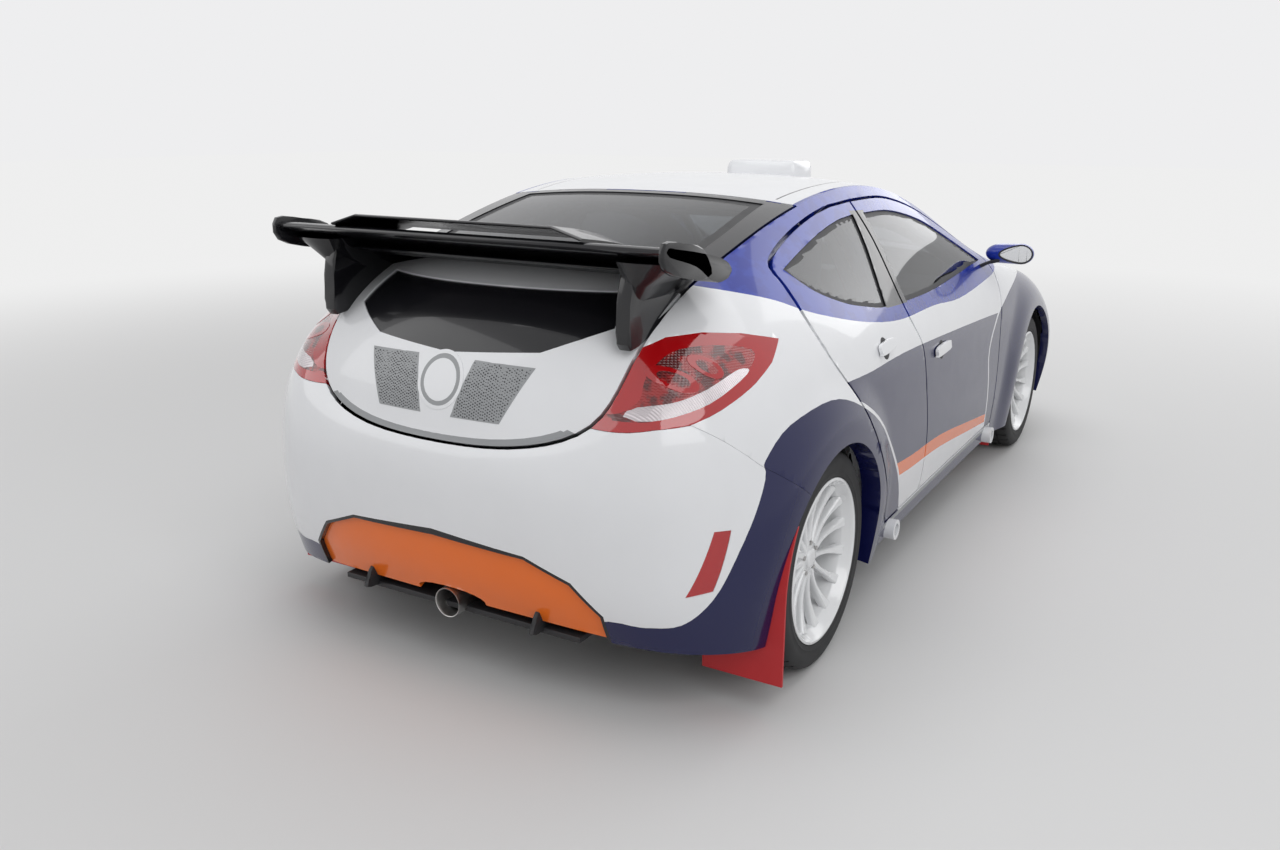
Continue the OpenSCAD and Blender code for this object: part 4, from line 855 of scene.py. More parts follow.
def lamps():
    for s, side in SIDE_NAME.items():
        bm = sheet(s, (-2120, 780), (-1500, 1060))
        trim(bm, TAIL_LAMP, "side")
        trim(bm, gate_line(LID_GAP / 2), "end", False, where=behind_gate)
        paint(bm, LAMP_CORE, "side", 1)
        paint(bm, LAMP_STRIP, "side", 2)
        thicken(bm, 0, 56, edge=2.5, lining=0)
        finish_mesh("tail_lamp_lens_" + side, bm, [RED_LENS, RED_DEEP, REVERSE_LENS], "body",
                    ["tail_lamps"] if s < 0 else ())
        for n, (x, z, r) in enumerate(((-1890, 932, 30), (-1812, 956, 27))):
            bm = sheet(s, (-2000, 850), (-1700, 1040))
            trim(bm, circle(x, z, r, 40), "side")
            cut(bm, circle(x, z, r * 0.6, 40), "side")
            for f in bm.faces:
                c = f.calc_center_median()
                f.material_index = int(math.hypot(c.x / MM - x, c.z / MM - z) < r * 0.6)
            thicken(bm, -1.2, 3, edge=1.2, lining=0)
            finish_mesh("tail_lamp_ring_%s_%d" % (side, n), bm, [RED_LENS, RED_DEEP], "body")
        bm = sheet(s, (-2020, 370), (-1840, 600))
        trim(bm, grown(FOG_LAMP, -FIT), "side")
        thicken(bm, 2, 30, edge=2, lining=0)
        finish_mesh("low_reflector_" + side, bm, [RED_LENS], "body",
                    ["rear_fog_lamps"] if s < 0 else ())
        bm = sheet(s, (1440, 560), (2180, 880))
        trim(bm, HEADLAMP, "side")
        trim(bm, [(1400, 430), (2300, 430), (2300, 1000), (1400, 1000)] if s > 0 else
             [(1400, -430), (2300, -430), (2300, -1000), (1400, -1000)], "plan")
        trim(bm, hood_line(LID_GAP / 2), "plan", False, where=above)
        cover = curved([[1560, 800], [1700, 715], [1800, 640], [1930, 630], [2020, 655], [1960, 705],
                        [1820, 752], [1660, 802]], 3, True)
        paint(bm, cover, "side", 1)
        thicken(bm, 0, 50, edge=2.5, lining=0)
        finish_mesh("headlamp_lens_" + side, bm, [BLACK_GLOSS, HEAD_LENS], "body",
                    ["headlamps"] if s < 0 else ())


# ---- Wheels ----
def lathe(bm, profile, steps, closed=True, index=0):
    """Spins a profile of (radius, along) round the wheel's axle, which is Y."""
    verts = [bm.verts.new((r * MM, a * MM, 0)) for r, a in profile]
    pairs = list(zip(verts, verts[1:] + verts[:1])) if closed else list(zip(verts, verts[1:]))
    edges = [bm.edges.new(p) for p in pairs]
    before = set(bm.faces)
    bmesh.ops.spin(bm, geom=verts + edges, axis=(0, 1, 0), cent=(0, 0, 0), angle=2 * math.pi,
                   steps=steps, use_merge=True)
    for f in bm.faces:
        if f not in before:
            f.material_index = index
    bmesh.ops.remove_doubles(bm, verts=bm.verts[:], dist=1e-6)


def loft(bm, rings, closed=True, caps=True, index=0):
    """Joins rings of points, in metres, into a skin."""
    made = [[bm.verts.new(p) for p in ring] for ring in rings]
    faces = []
    for a, b in zip(made, made[1:]):
        n = len(a)
        for k in range(n if closed else n - 1):
            faces.append(bm.faces.new((a[k], a[(k + 1) % n], b[(k + 1) % n], b[k])))
    if caps:
        faces.append(bm.faces.new(made[0][::-1]))
        faces.append(bm.faces.new(made[-1]))
    for f in faces:
        f.material_index = index
    return faces


def across(points, y):
    """A side outline (x, z) at a distance y from the middle of the car."""
    return [Vector((x * MM, y * MM, z * MM)) for x, z in points]


def level(points, z, s=1):
    """A plan outline (x, y) at a height z, on side s."""
    return [Vector((x * MM, s * y * MM, z * MM)) for x, y in points]


def place(bm, x, s):
    """Moves a wheel made about the origin, its outer face towards +Y, to its axle."""
    if s < 0:
        bmesh.ops.rotate(bm, verts=bm.verts[:], cent=(0, 0, 0), matrix=Matrix.Rotation(math.pi, 3, "Z"))
    bmesh.ops.translate(bm, verts=bm.verts[:], vec=(x * MM, s * WHEEL_Y * MM, TYRE_R * MM))
    outwards(bm)


def wheel(name, x, s):
    w = TYRE_W / 2
    bm = bmesh.new()
    lathe(bm, [(RIM_R - 27, -w + 6), (RIM_R - 3, -w + 6), (RIM_R, -w + 9), (RIM_R, -w + 15),
               (RIM_R - 13, -w + 24), (RIM_R - 22, -w + 60), (RIM_R - 22, w - 40),
               (RIM_R - 12, w - 17), (RIM_R - 1, w - 12),
               (RIM_R, w - 9), (RIM_R, w - 4), (RIM_R - 3, w - 2), (RIM_R - 8, w - 2), (RIM_R - 12, w - 6),
               (RIM_R - 15, w - 14), (RIM_R - 27, w - 34), (RIM_R - 30, w - 40), (RIM_R - 30, -w + 40)], 120)
    for k in range(SPOKES):
        turn = Matrix.Rotation(2 * math.pi * k / SPOKES, 3, "Y")
        rings = []
        for t in np.linspace(0, 1, 9):
            r = HUB_R + (RIM_R - 27 - HUB_R) * t
            face = 66 + 24 * t - 20 * math.sin(math.pi * t) * 0.6
            half = 10.5 - 3.5 * math.sin(math.pi * min(1, t * 1.1)) + 5 * max(0, t - 0.8) * 5
            deep = 30 - 6 * t
            shape = [(-half, -deep), (-half * 1.1, -deep * 0.4), (-half, -3), (-half + 3, 0),
                     (half - 3, 0), (half, -3), (half * 1.1, -deep * 0.4), (half, -deep)]
            rings.append([turn @ Vector((r * MM, (face + a) * MM, o * MM)) for o, a in shape])
        loft(bm, rings)
    lathe(bm, [(0, 74), (18, 74), (27, 73), (30, 70), (31, 64), (40, 62), (56, 58), (62, 52), (64, 44),
               (62, -40), (0, -40)], 64, closed=False)
    for k in range(NUTS):
        a = 2 * math.pi * k / NUTS + 0.3
        spot = Vector((47 * math.cos(a) * MM, 61 * MM, 47 * math.sin(a) * MM))
        turn = Matrix.Translation(spot) @ Matrix.Rotation(-math.pi / 2, 4, "X")
        nut = bmesh.ops.create_cone(bm, cap_ends=True, segments=6, radius1=0.0085, radius2=0.0075,
                                    depth=0.016, matrix=turn)
        dress(nut["verts"], 1)
    place(bm, x, s)
    finish_mesh(name + "_rim", bm, [WHEEL_WHITE, STEEL], name, [name], angle=0.7)
    bm = bmesh.new()
    lathe(bm, [(60, -50), (163, -50), (165, -48), (165, -42), (150, -41), (150, -35), (165, -34), (165, -26),
               (163, -24), (100, -24), (96, -20), (60, -20)], 96)
    # Thin black discs on the brake disc stand for its drilled holes: their black is painted shade inside the
    # holes.
    for k in range(36):
        a = 2 * math.pi * k / 36
        r = 118 + 12 * (k % 3)
        spot = Vector((r * math.cos(a) * MM, -0.0236, r * math.sin(a) * MM))
        turn = Matrix.Translation(spot) @ Matrix.Rotation(math.pi / 2, 4, "X")
        hole = bmesh.ops.create_cone(bm, cap_ends=True, segments=12, radius1=0.0035, radius2=0.0035,
                                     depth=0.001, matrix=turn)
        dress(hole["verts"], 1)
    place(bm, x, s)
    finish_mesh(name + "_disc", bm, [DISC, BLACK_TRIM], name)


def tyre(name, wheel_body, x, s):
    """A low-profile tyre with three straight grooves, cross slots and shoulder blocks."""
    w, r = TYRE_W / 2, TYRE_R
    bm = bmesh.new()
    half = [(RIM_R + 0.3, w - 8), (RIM_R + 3, w - 3.5), (RIM_R + 14, w - 2.2), (RIM_R + 17, w - 0.8),
            (RIM_R + 20, w - 2), (RIM_R + 34, w - 0.5), (r - 32, w - 0.4), (r - 22, w - 3.5), (r - 14, w - 7),
            (r - 8, w - 12), (r - 4, w - 20)]
    tread = [(r - 2.2, w - 32), (r - 1.4, 64), (r - 8, 62.5), (r - 8, 54), (r - 0.9, 52.5),
             (r - 0.2, 30), (r, 14), (r - 8, 12.5), (r - 8, 5), (r, 3.5)]
    profile = half + tread
    lathe(bm, profile + [(a, -b) for a, b in reversed(profile)], TREAD_STEPS)
    bm.faces.ensure_lookup_table()
    slots = []
    for f, c in centres(bm):
        radius = math.hypot(c.x, c.z)
        step = int(round(math.atan2(c.z, c.x) / (2 * math.pi) * TREAD_STEPS - 0.5)) % TREAD_STEPS
        if abs(c.y) > 0.066 and radius > 0.315 and step % 6 == 0:
            slots.append(f)
        elif 0.028 < abs(c.y) < 0.054 and radius > 0.322 and step % 8 == (3 if c.y > 0 else 6):
            slots.append(f)
    bmesh.ops.inset_individual(bm, faces=slots, thickness=0.0006, depth=-0.005)
    place(bm, x, s)
    finish_mesh(name + "_tread", bm, [TYRE], wheel_body, [name], angle=0.55)


def block(bm, low, high, index=0, edge=0.0):
    """A box between two corners, in millimetres, with softened edges."""
    made = bmesh.ops.create_cube(bm, size=1)
    lo, hi = Vector(low) * MM, Vector(high) * MM
    for v in made["verts"]:
        v.co = Vector(((lo[k] + hi[k]) / 2 + v.co[k] * (hi[k] - lo[k])) for k in range(3))
    dress(made["verts"], index)
    if edge:
        edges = {e for v in made["verts"] for e in v.link_edges}
        soften(bm, edges, edge, 3)


for axle, at in (("front", FRONT_X), ("rear", REAR_X)):
    for side, s in (("left", 1), ("right", -1)):
        wheel("wheel_%s_%s" % (axle, side), at, s)
        tyre("tyre_%s_%s" % (axle, side), "wheel_%s_%s" % (axle, side), at, s)
lamps()


# ---- Tail details ----
def outline_solid(bm, points, y0, y1, index=0, edge=0.0):
    """A side outline (x, z) carried across from y0 to y1."""
    faces = loft(bm, [across(points, y) for y in (y0, y1)], index=index)
    if edge:
        ends = {e for f in faces[-2:] for e in f.edges}
        soften(bm, ends, edge)


WING_LIP = ((-1760, 1262), (-1850, 1283), (-1960, 1300), (-1992, 1304), (-1994, 1297), (-1950, 1288),
            (-1850, 1268), (-1764, 1250))
WING_FLARES = ((1120, -1900, -1640, 486, 528), (1160, -1915, -1650, 484, 556),
               (1195, -1930, -1672, 482, 606), (1222, -1945, -1720, 480, 640))


def wing():
    bm = bmesh.new()
    section = curved([(-1640, 1186), (-1700, 1216), (-1830, 1244), (-1940, 1262), (-1975, 1268),
                      (-1992, 1262), (-1975, 1246), (-1840, 1210), (-1740, 1160), (-1660, 1162)], 4, True)
    outline_solid(bm, section, -655, 655, edge=3)
    rings = []
    for y, drop in ((-420, 26), (-330, 0), (330, 0), (420, 26)):
        raised = curved([(x, z - drop) for x, z in WING_LIP], 4, True)
        rings.append(across(raised, y))
    loft(bm, rings)
    lower = curved([(-1636, 1150), (-1700, 1172), (-1800, 1190), (-1856, 1196), (-1858, 1188), (-1800, 1176),
                    (-1700, 1156), (-1642, 1138)], 4, True)
    outline_solid(bm, lower, -492, 492, edge=2)
    foot = curved([(-1610, 1110), (-1618, 1172), (-1700, 1200), (-1850, 1222), (-1922, 1192), (-1940, 1080),
                   (-1930, 1000), (-1800, 1040), (-1700, 1080)], 3, True)
    for s in (-1, 1):
        outline_solid(bm, foot, s * 505 - 20, s * 505 + 20, edge=6)
        flare = []
        for z, back, front, inner, outer in WING_FLARES:
            middle = (back + front) / 2
            ring = curved([(back, inner + 8), (back + 10, outer - 6), (middle, outer),
                           (front - 12, outer - 14), (front, inner + 10), (middle, inner)], 4, True)
            flare.append(level(ring, z, s))
        loft(bm, flare)
        plate = curved([(-1750, 1180), (-1800, 1250), (-1900, 1272), (-1992, 1280), (-1988, 1215),
                        (-1850, 1180)], 3, True)
        outline_solid(bm, plate, s * 647 - 8, s * 647 + 8, edge=4)
    outwards(bm)
    finish_mesh("wing_blades", bm, [BLACK_GLOSS], "tailgate", ["rear_wing"])


def vents():
    """Two grey panels with black discs for their holes, the discs' black being painted shade, and the blank
    round recess on the tailgate.
    """
    for s, side in SIDE_NAME.items():
        frame_line = curved([(s * 100, 941), (s * 272, 937), (s * 204, 803), (s * 58, 803)], 1, True)
        bm = sheet(0, (-2200, 780), (-1900, 960))
        trim(bm, grown(frame_line, 5), "end")
        thicken(bm, -0.8, 3, edge=0.8, lining=0)
        finish_mesh("vent_frame_" + side, bm, [GREY_STRIP], "tailgate")
        # Black discs on the panel stand for its holes: their black is painted shade, the darkness inside each
        # hole.
        bm = bmesh.new()
        y = -280.0
        while y < 280:
            z = 795.0 + (VENT_STEP / 2 if int(round(y / VENT_STEP)) % 2 else 0)
            while z < 950:
                if contains(frame_line, y, z):
                    x = skin_x(y, z)
                    made = bmesh.ops.create_circle(bm, cap_ends=True, segments=6, radius=0.0024)
                    for v in made["verts"]:
                        v.co = Vector((x * MM - 0.0011, y * MM + v.co.x, z * MM + v.co.y))
                z += VENT_STEP
            y += VENT_STEP * 0.866
        outwards(bm)
        finish_mesh("vent_hole_shade_" + side, bm, [BLACK_TRIM], "tailgate")
    bm = sheet(0, (-2200, 780), (-1900, 1000))
    ring = circle(0, BADGE_Z, 76, 64)
    trim(bm, ring, "end")
    cut(bm, circle(0, BADGE_Z, 66, 64), "end")
    cut(bm, circle(0, BADGE_Z, 54, 64), "end")
    for f, c in centres(bm):
        f.material_index = int(54 < math.hypot(c.y / MM, c.z / MM - BADGE_Z) < 66)
    thicken(bm, -1.5, 4, edge=1.2, lining=0)
    finish_mesh("blank_badge", bm, [WHITE, GREY_STRIP], "tailgate")


def skin_x(y, z):
    """Where the tail's skin lies at a height and a distance from the middle."""
    tail = GRID[len(GRID) * 3 // 4:]
    gap = (tail[:, :, 1] - abs(y)) ** 2 + (tail[:, :, 2] - z) ** 2 + 1e6 * (tail[:, :, 0] > -1500)
    i, j = np.unravel_index(np.argsort(gap, axis=None)[:4], gap.shape)
    near = 1 / (gap[i, j] + 1)
    return float((tail[i, j, 0] * near).sum() / near.sum())


def diffuser():
    bm = sheet(0, (-2200, 180), (-1850, 520))
    opening = grown(TAIL_OPENING, -0.5)
    trim(bm, opening, "end", where=lambda c: c.x < -1.8)
    outlet = curved([(-120, 262), (-60, 284), (60, 284), (120, 262), (96, 226), (40, 206), (-40, 206),
                     (-96, 226)], 3, True)
    trim(bm, outlet, "end", False)
    thicken(bm, 14, 40, lining=0)
    finish_mesh("diffuser_skin", bm, [ORANGE, BLACK_TRIM], "body", ["rear_diffuser"])
    bm = bmesh.new()
    for s in (-1, 1):
        blade = curved([(-2060, 222), (-2066, 250), (-2050, 282), (-1990, 300), (-1850, 280),
                        (-1830, 222)], 3, True)
        outline_solid(bm, blade, s * 300 - 7, s * 300 + 7, 1, 4)
    block(bm, (-2030, -425, 214), (-1822, 425, 231), 1, 3)
    outwards(bm)
    finish_mesh("diffuser_blades", bm, [ORANGE, BLACK_TRIM], "body")


def exhaust():
    bm = bmesh.new()
    turn = Matrix.Rotation(-math.pi / 2, 3, "Z")

    def pipe(profile, steps, index, y=0, z=245):
        part = bmesh.new()
        lathe(part, profile, steps, index=index)
        bmesh.ops.rotate(part, verts=part.verts[:], cent=(0, 0, 0), matrix=turn)
        bmesh.ops.translate(part, verts=part.verts[:], vec=(0, y * MM, z * MM))
        add(bm, part)

    pipe([(39, -2058), (41, -2064), (43, -2065), (44, -2060), (44, -1770), (39, -1770)], 64, 0)
    pipe([(0.5, -1880), (39, -1880), (39, -1876), (0.5, -1876)], 48, 1)
    pipe([(0.5, -1790), (32, -1790), (32, 1030), (0.5, 1030)], 48, 0)
    block(bm, (-1800, -200, 195), (-1570, 200, 315), 0, 28)
    for s in (-1, 1):
        block(bm, (-1692, s * 150 - 8, 300), (-1678, s * 150 + 8, 419), 1, 3)
    outwards(bm)
    finish_mesh("exhaust_pipe", bm, [STEEL, BLACK_TRIM], "body", ["exhaust"])


wing()
vents()
diffuser()
exhaust()


# ---- Sills, grille, handles, mirrors and the roof scoop ----
def side_skirts():
    for s, side in SIDE_NAME.items():
        bm = sheet(s, (-1000, 100), (700, 300))
        trim(bm, grown(SILL, -FIT), "side")
        for x in SOCKET_X:
            trim(bm, circle(x, SOCKET_Z, 27.5, 40), "side", False)
        trim(bm, arch_line(REAR_X, ARCH_REAR + 6), "side", False)
        paint(bm, [(-950, 238), (620, 238), (620, 262), (-950, 262)], "side", 1)
        thicken(bm, 0, SKIRT_DEPTH, lining=0)
        finish_mesh("side_skirt_" + side, bm, [NAVY, GREY_STRIP], "body",
                    ["side_skirts"] if s < 0 else ())
        bm = bmesh.new()
        for x in SOCKET_X:
            plug = bmesh.new()
            lathe(plug, [(22.5, 820), (25, 820), (29, 855), (33, 858), (34, 861), (31, 863), (24, 862),
                         (22.5, 859)], 48)
            bmesh.ops.translate(plug, verts=plug.verts[:], vec=(x * MM, 0, SOCKET_Z * MM))
            add(bm, plug)
        if s < 0:
            bmesh.ops.scale(bm, vec=(1, -1, 1), verts=bm.verts[:])
        outwards(bm)
        finish_mesh("jack_ring_" + side, bm, [WHITE], "body")


def grille():
    bm = sheet(0, (1700, 230), (2200, 640))
    trim(bm, grown(NOSE_OPENING, -0.5), "end", where=lambda c: c.x > 1.7)
    for z in np.arange(GRILLE_LOW, 615, GRILLE_STEP):
        cut(bm, [(-500, z), (500, z)], "end", closed=False)
    inner = grown(NOSE_OPENING, -16)
    cut(bm, inner, "end")
    gone = []
    for f, c in centres(bm):
        gap = int((c.z / MM - GRILLE_LOW) // GRILLE_STEP) % 2 and abs(c.y / MM) % 110 > 7
        if gap and contains(inner, c.y / MM, c.z / MM):
            gone.append(f)
    bmesh.ops.delete(bm, geom=gone, context="FACES")
    thicken(bm, 15, 25, edge=1, lining=0)
    finish_mesh("grille_bars", bm, [BLACK_TRIM], "body", ["front_grille"])


def handle(name, s, low, high, z, body):
    """A strap handle over a black disc, painted shade standing for its cup, following the door's skin."""
    bm = sheet(s, (low - 60, z - 90), (high + 60, z + 90))
    strap = curved([(low, z - 12), (low + 14, z + 14), (high - 14, z + 17), (high, z - 4),
                    (high - 16, z - 15), (low + 12, z - 19)], 4, True)
    shade_disc = bm.copy()
    trim(bm, strap, "side")
    thicken(bm, -15, -4, edge=4, lining=0)
    finish_mesh(name + "_handle", bm, [WHITE], body)
    # The black disc round the handle is painted shade, standing for the shaded hollow of the handle's cup.
    trim(shade_disc, circle((low + high) / 2, z - 4, 34, 40), "side")
    thicken(shade_disc, -0.8, 2, edge=0.8, lining=0)
    finish_mesh(name + "_handle_shade_disc", shade_disc, [BLACK_TRIM], body)


def mirrors():
    for s, side in SIDE_NAME.items():
        body = "door_front_right" if s < 0 else "door_left"
        ball = bmesh.new()
        bmesh.ops.create_uvsphere(ball, u_segments=40, v_segments=24, radius=1)
        bm = bmesh.new()
        for at, size in (((572, 855, 1017), (52, 66, 41)), ((545, 940, 1022), (47, 52, 43))):
            for v in ball.verts:
                bm.verts.new([(at[k] + v.co[k] * size[k]) * MM for k in range(3)])
        ball.free()
        bmesh.ops.convex_hull(bm, input=bm.verts[:])
        bmesh.ops.delete(bm, geom=[v for v in bm.verts if not v.link_faces], context="VERTS")
        bmesh.ops.bisect_plane(bm, geom=bm.verts[:] + bm.edges[:] + bm.faces[:], dist=1e-5,
                               plane_co=(0.524, 0.9, 0), plane_no=(-1, 0.12, 0), clear_outer=True)
        rim = [e for e in bm.edges if e.is_boundary]
        back = bmesh.ops.edgeloop_fill(bm, edges=rim)["faces"]
        for f in back:
            f.material_index = 1
        bmesh.ops.inset_region(bm, faces=back, thickness=0.006, depth=0)
        glass = [f for f in bm.faces if f.material_index == 1 and len(f.verts) > 8]
        bmesh.ops.inset_region(bm, faces=glass, thickness=0.001, depth=-0.006)
        for f in glass:
            f.material_index = 2
        arm = bmesh.new()
        loft(arm, [[Vector((x * MM, y * MM, z * MM)) for x, y, z in ring] for ring in (
            [(525, 858, 984), (588, 858, 984), (588, 858, 1002), (525, 858, 1002)],
            [(528, 812, 972), (598, 812, 972), (598, 812, 986), (528, 812, 986)],
            [(524, 772, 950), (604, 772, 950), (604, 772, 968), (524, 772, 968)])], index=1)
        soften(arm, arm.edges[:], 4, 3)
        add(bm, arm)
        if s < 0:
            bmesh.ops.scale(bm, vec=(1, -1, 1), verts=bm.verts[:])
        outwards(bm)
        finish_mesh("mirror_%s_pod" % side, bm, [BLUE, BLACK_TRIM, REFLECTOR], body,
                    ["mirror_" + side])


def roof_scoop():
    bm = bmesh.new()
    rings = []
    for z, grow in ((1335, 2), (1372, 0), (1392, -10), (1400, -24)):
        ring = curved([(-62 - grow, 0), (-56 - grow, 110), (-20, 160 + grow), (95, 163 + grow),
                       (146 + grow * 1.4, 120), (150 + grow * 1.4, 0), (146 + grow * 1.4, -120),
                       (95, -163 - grow), (-20, -160 - grow), (-56 - grow, -110)], 6, True)
        rings.append(level(ring, z))
    loft(bm, rings)
    outwards(bm)
    mouth = [f for f in bm.faces if f.normal.x > 0.75 and f.calc_center_median().z > 1.372]
    bmesh.ops.inset_region(bm, faces=mouth, thickness=0.004, depth=0)
    bmesh.ops.inset_region(bm, faces=mouth, thickness=0.001, depth=-0.012)
    for f in mouth:
        f.material_index = 1
    finish_mesh("roof_scoop", bm, [WHITE, BLACK_TRIM], "body", ["roof_vent"])


# ---- Cabin ----
def rod(bm, a, b, r, index=0):
    """A round tube between two points in millimetres, with ball ends where tubes meet."""
    a, b = Vector(a) * MM, Vector(b) * MM
    turn = (b - a).to_track_quat("Z", "Y").to_matrix().to_4x4()
    made = bmesh.ops.create_cone(bm, cap_ends=True, segments=28, radius1=r * MM, radius2=r * MM,
                                 depth=(b - a).length, matrix=Matrix.Translation((a + b) / 2) @ turn)
    verts = list(made["verts"])
    for end in (a, b):
        verts += bmesh.ops.create_uvsphere(bm, u_segments=20, v_segments=12, radius=r * MM,
                                           matrix=Matrix.Translation(end))["verts"]
    dress(verts, index)


def cage():
    bm = bmesh.new()
    foot = 236.5
    for s in (-1, 1):
        runs = [[(-620, s * 620, foot), (-620, s * 640, 960), (-600, s * 486, 1240), (120, s * 486, 1215),
                 (640, s * 610, 960), (640, s * 630, foot)],
                [(-600, s * 486, 1240), (-1180, s * 480, 1010), (-1240, s * 470, 456)],
                [(-620, s * 630, 420), (640, s * 622, 640)]]
        for run in runs:
            for a, b in zip(run, run[1:]):
                rod(bm, a, b, CAGE_R)
        for x, y, z in ((-620, 620, 214.8), (640, 630, 214.8), (-1240, 470, 434.6)):
            block(bm, (x - 50, s * y - 40, z), (x + 50, s * y + 40, z + 6), 0, 1.5)
        gusset = [(-632, 1222), (-610, 1010), (-690, 1010), (-930, 1090), (-960, 1106)]
        outline_solid(bm, gusset, s * 502 - 2, s * 502 + 2, 0, 0.8)
    for a, b in (((-600, -486, 1240), (-600, 486, 1240)), ((120, -486, 1215), (120, 486, 1215)),
                 ((-620, -635, 800), (-620, 635, 800)), ((-620, 635, 800), (-600, -486, 1240))):
        rod(bm, a, b, CAGE_R)
    outwards(bm)
    finish_mesh("roll_cage_tubes", bm, [CAGE], "body", ["roll_cage"])


def pad(name, centre, across, along, normal, size, seams=()):
    """A crowned cushion: its edges pull in, and sewn channels cross it."""
    bm = bmesh.new()
    bmesh.ops.create_cube(bm, size=2)
    bmesh.ops.subdivide_edges(bm, edges=bm.edges[:], cuts=31, use_grid_fill=True)
    across, along, normal = (Vector(v).normalized() for v in (across, along, normal))
    for v in bm.verts:
        a, b, c = v.co
        crown = ((1 - a ** 6) * (1 - b ** 6)) ** 0.35
        waist = 1 - 0.035 * (1 - a * a) * abs(b) ** 4
        reach_a = a * (1 - 0.05 * (1 - b * b) * abs(a) ** 6 - 0.03 * c * c)
        sink = sum(0.20 * math.exp(-((b - k) / 0.045) ** 2) for k in seams) * (c > 0)
        wrinkle = 0.03 * noise.noise(Vector((a * 2.2, b * 2.2, c + centre[1])))
        lift = c * (0.22 + 0.78 * crown) * (1 - sink) + wrinkle * (c > 0)
        v.co = (Vector(centre) + across * reach_a * size[0] + along * b * waist * size[1]
                + normal * lift * size[2]) * MM
    bmesh.ops.smooth_vert(bm, verts=bm.verts[:], factor=0.4, use_axis_x=True, use_axis_y=True,
                          use_axis_z=True)
    outwards(bm)
    piece = finish_mesh(name, bm, [SEAT, SEAT_EDGE], "body", angle=1.2)
    return piece


SHELL_EDGE = ((-478, 150, 826), (-410, 208, 618), (-345, 214, 600), (-175, 216, 258), (-60, 214, 268),
              (262, 208, 282))


def seats():
    for s, side in SIDE_NAME.items():
        x, y, z = 20, s * 350, FLOOR_TOP
        pad("seat_base_" + side, (x + 40, y, z + 186), (0, 1, 0), (1, 0, 0.02), (-0.02, 0, 1), (158, 205, 24),
            (-0.35, 0.35))
        lean_back = Vector((-140, 0, 500)).normalized()
        front = Vector((lean_back.z, 0, -lean_back.x))
        pad("seat_back_" + side, (x - 258, y, z + 440), (0, 1, 0), lean_back, front, (150, 190, 26),
            (-0.5, 0, 0.5))
        pad("seat_head_" + side, (x - 372, y, z + 705), (0, 1, 0), lean_back, front, (96, 60, 22))
        bm = bmesh.new()
        for t in (-1, 1):
            edge = [(x + dx, y + t * dy, z + dz) for dx, dy, dz in SHELL_EDGE]
            for a, b in zip(edge, edge[1:]):
                rod(bm, a, b, 5)
        rod(bm, (x - 478, y - 150, z + 826), (x - 478, y + 150, z + 826), 5)
        outwards(bm)
        finish_mesh("seat_piping_" + side, bm, [SEAT_EDGE], "body")


side_skirts()
grille()
handle("door_front_right", -1, -400, -225, 762, "door_front_right")
handle("door_rear_right", -1, -1000, -860, 872, "door_rear_right")
handle("door_left", 1, -690, -515, 772, "door_left")
mirrors()
roof_scoop()
cage()
seats()

# ---- The CAD pieces that stay in view ----
DRESS = {"floor_pan": UNDERBODY, "wheel_houses": LINER, "dashboard": TRIM_PANEL, "engine_block": ENGINE,
         "front_subframe": CAST, "rear_axle": CAST, "jack_sockets": WHITE, "mud_flaps": RED_RUBBER,
         "steering_wheel": GRIP, "knuckle_left": CAST, "knuckle_right": CAST, "seat_left": SEAT_SHELL,
         "seat_right": SEAT_SHELL, "exhaust": STEEL, "roll_cage": CAGE}
for name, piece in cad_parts.items():
    look = DRESS.get(name, WHITE)
    if not piece.material_slots:
        piece.data.materials.append(look)
    for place in piece.material_slots:
        place.material = look


# ---- Floor, light and camera ----
# Where the floor starts and ends its fade, in metres, and the sky's strength as light and as seen
FADE = (2.6, 9.0)
SKY = (0.42, 0.9)


def clear_view(tree):
    """One for a ray from the camera, off a shiny surface or through glass, and zero for the rest."""
    path = tree.nodes.new("ShaderNodeLightPath")
    pair = node(tree, "ShaderNodeMath", operation="MAXIMUM")
    tree.links.new(path.outputs["Is Camera Ray"], pair.inputs[0])
    tree.links.new(path.outputs["Is Glossy Ray"], pair.inputs[1])
    seen = node(tree, "ShaderNodeMath", operation="MAXIMUM")
    tree.links.new(pair.outputs[0], seen.inputs[0])
    tree.links.new(path.outputs["Is Transmission Ray"], seen.inputs[1])
    return seen


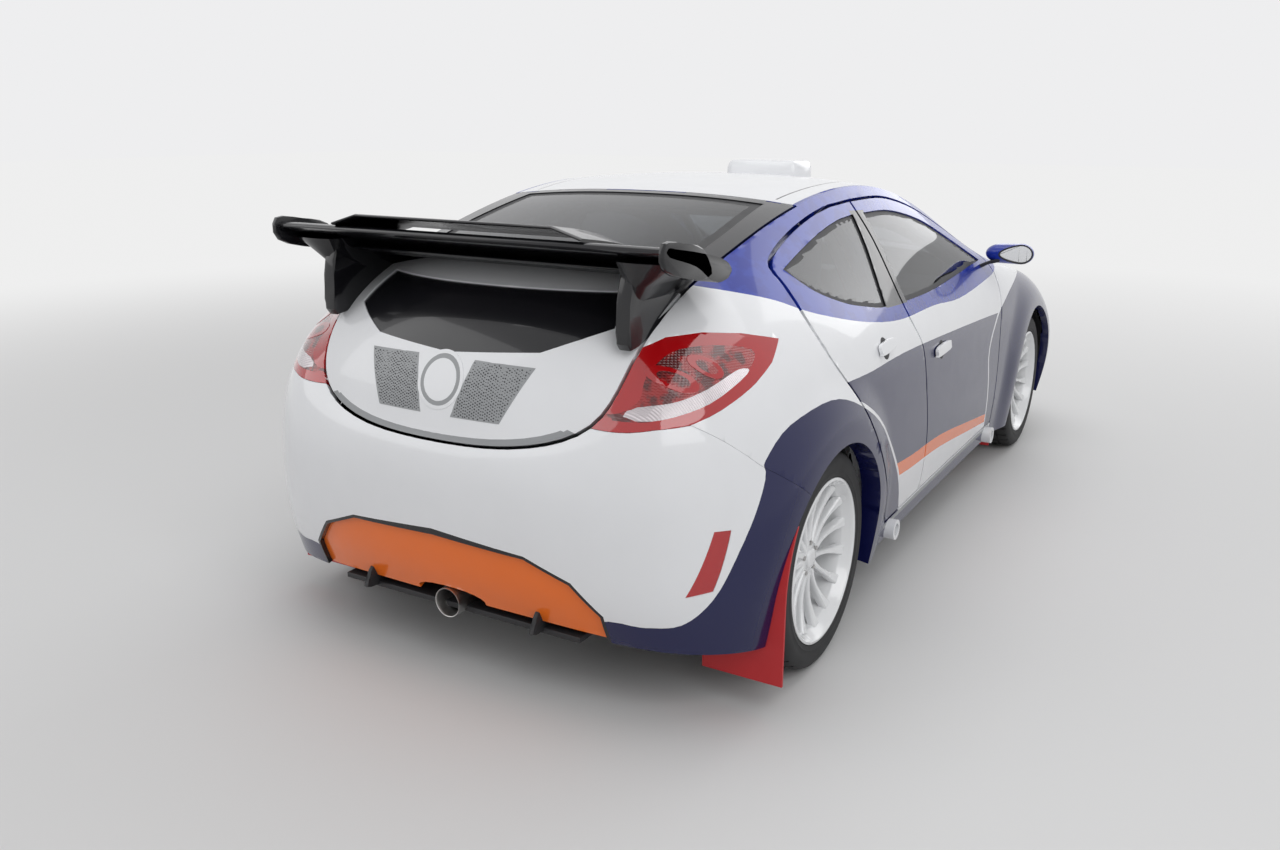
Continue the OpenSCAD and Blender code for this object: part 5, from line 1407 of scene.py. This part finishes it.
def floor_finish():
    """A pale matt floor that fades into the backdrop away from the car."""
    m = bpy.data.materials.new("floor_paint")
    m.use_nodes = True
    tree = m.node_tree
    link = tree.links.new
    shader = tree.nodes["Principled BSDF"]
    shader.inputs["Base Color"].default_value = (0.66, 0.66, 0.66, 1)
    shader.inputs["Roughness"].default_value = 0.7
    place = tree.nodes.new("ShaderNodeTexCoord")
    away = node(tree, "ShaderNodeVectorMath", operation="LENGTH")
    link(place.outputs["Object"], away.inputs[0])
    fade = ranged(tree, away.outputs["Value"], *FADE, "From", interpolation_type="SMOOTHSTEP")
    glow = node(tree, "ShaderNodeEmission", Strength=0.86)
    seen = clear_view(tree)
    share = node(tree, "ShaderNodeMath", operation="MULTIPLY")
    link(fade, share.inputs[0])
    link(seen.outputs[0], share.inputs[1])
    mix = tree.nodes.new("ShaderNodeMixShader")
    link(share.outputs[0], mix.inputs[0])
    link(shader.outputs[0], mix.inputs[1])
    link(glow.outputs[0], mix.inputs[2])
    link(mix.outputs[0], tree.nodes["Material Output"].inputs["Surface"])
    return m


def studio():
    bm = bmesh.new()
    bmesh.ops.create_grid(bm, x_segments=1, y_segments=1, size=40)
    mesh = bpy.data.meshes.new("floor")
    bm.to_mesh(mesh)
    bm.free()
    floor = bpy.data.objects.new("floor", mesh)
    bpy.context.scene.collection.objects.link(floor)
    mesh.materials.append(floor_finish())
    for name, at, size, power in (("key", (-5.5, -6.5, 6.5), 6.0, 300), ("fill", (-6.0, 6.0, 5.0), 6.0, 130),
                                  ("front", (7.0, -1.0, 5.0), 6.0, 170), ("top", (-0.2, 0.0, 7.5), 7.0, 170)):
        lamp = bpy.data.lights.new(name, "AREA")
        lamp.size = size
        lamp.energy = power
        made = bpy.data.objects.new(name, lamp)
        made.location = at
        made.rotation_euler = (Vector((-0.1, 0, 0.6)) - Vector(at)).to_track_quat("-Z", "Y").to_euler()
        bpy.context.scene.collection.objects.link(made)
    world = bpy.data.worlds.new("studio")
    bpy.context.scene.world = world
    world.use_nodes = True
    tree = world.node_tree
    back = tree.nodes["Background"]
    tree.links.new(ranged(tree, clear_view(tree).outputs[0], *SKY), back.inputs["Strength"])
    back.inputs["Color"].default_value = (0.95, 0.95, 0.96, 1)


def viewpoint():
    yaw, pitch, roll = math.radians(30.61), math.radians(15.7), math.radians(0.22)
    ahead = Vector((math.cos(pitch) * math.cos(yaw), math.cos(pitch) * math.sin(yaw), -math.sin(pitch)))
    right = ahead.cross(Vector((0, 0, 1))).normalized()
    up = right.cross(ahead)
    right, up = (right * math.cos(roll) + up * math.sin(roll), up * math.cos(roll) - right * math.sin(roll))
    lens = bpy.data.cameras.new("camera")
    lens.sensor_width = 36
    lens.lens = 30.43
    camera = bpy.data.objects.new("camera", lens)
    turn = Matrix((right, up, -ahead)).transposed().to_4x4()
    camera.matrix_world = Matrix.Translation((-4.198, -1.891, 1.554)) @ turn
    bpy.context.scene.collection.objects.link(camera)
    bpy.context.scene.camera = camera


studio()
viewpoint()
bpy.context.scene.view_settings.view_transform = "Standard"
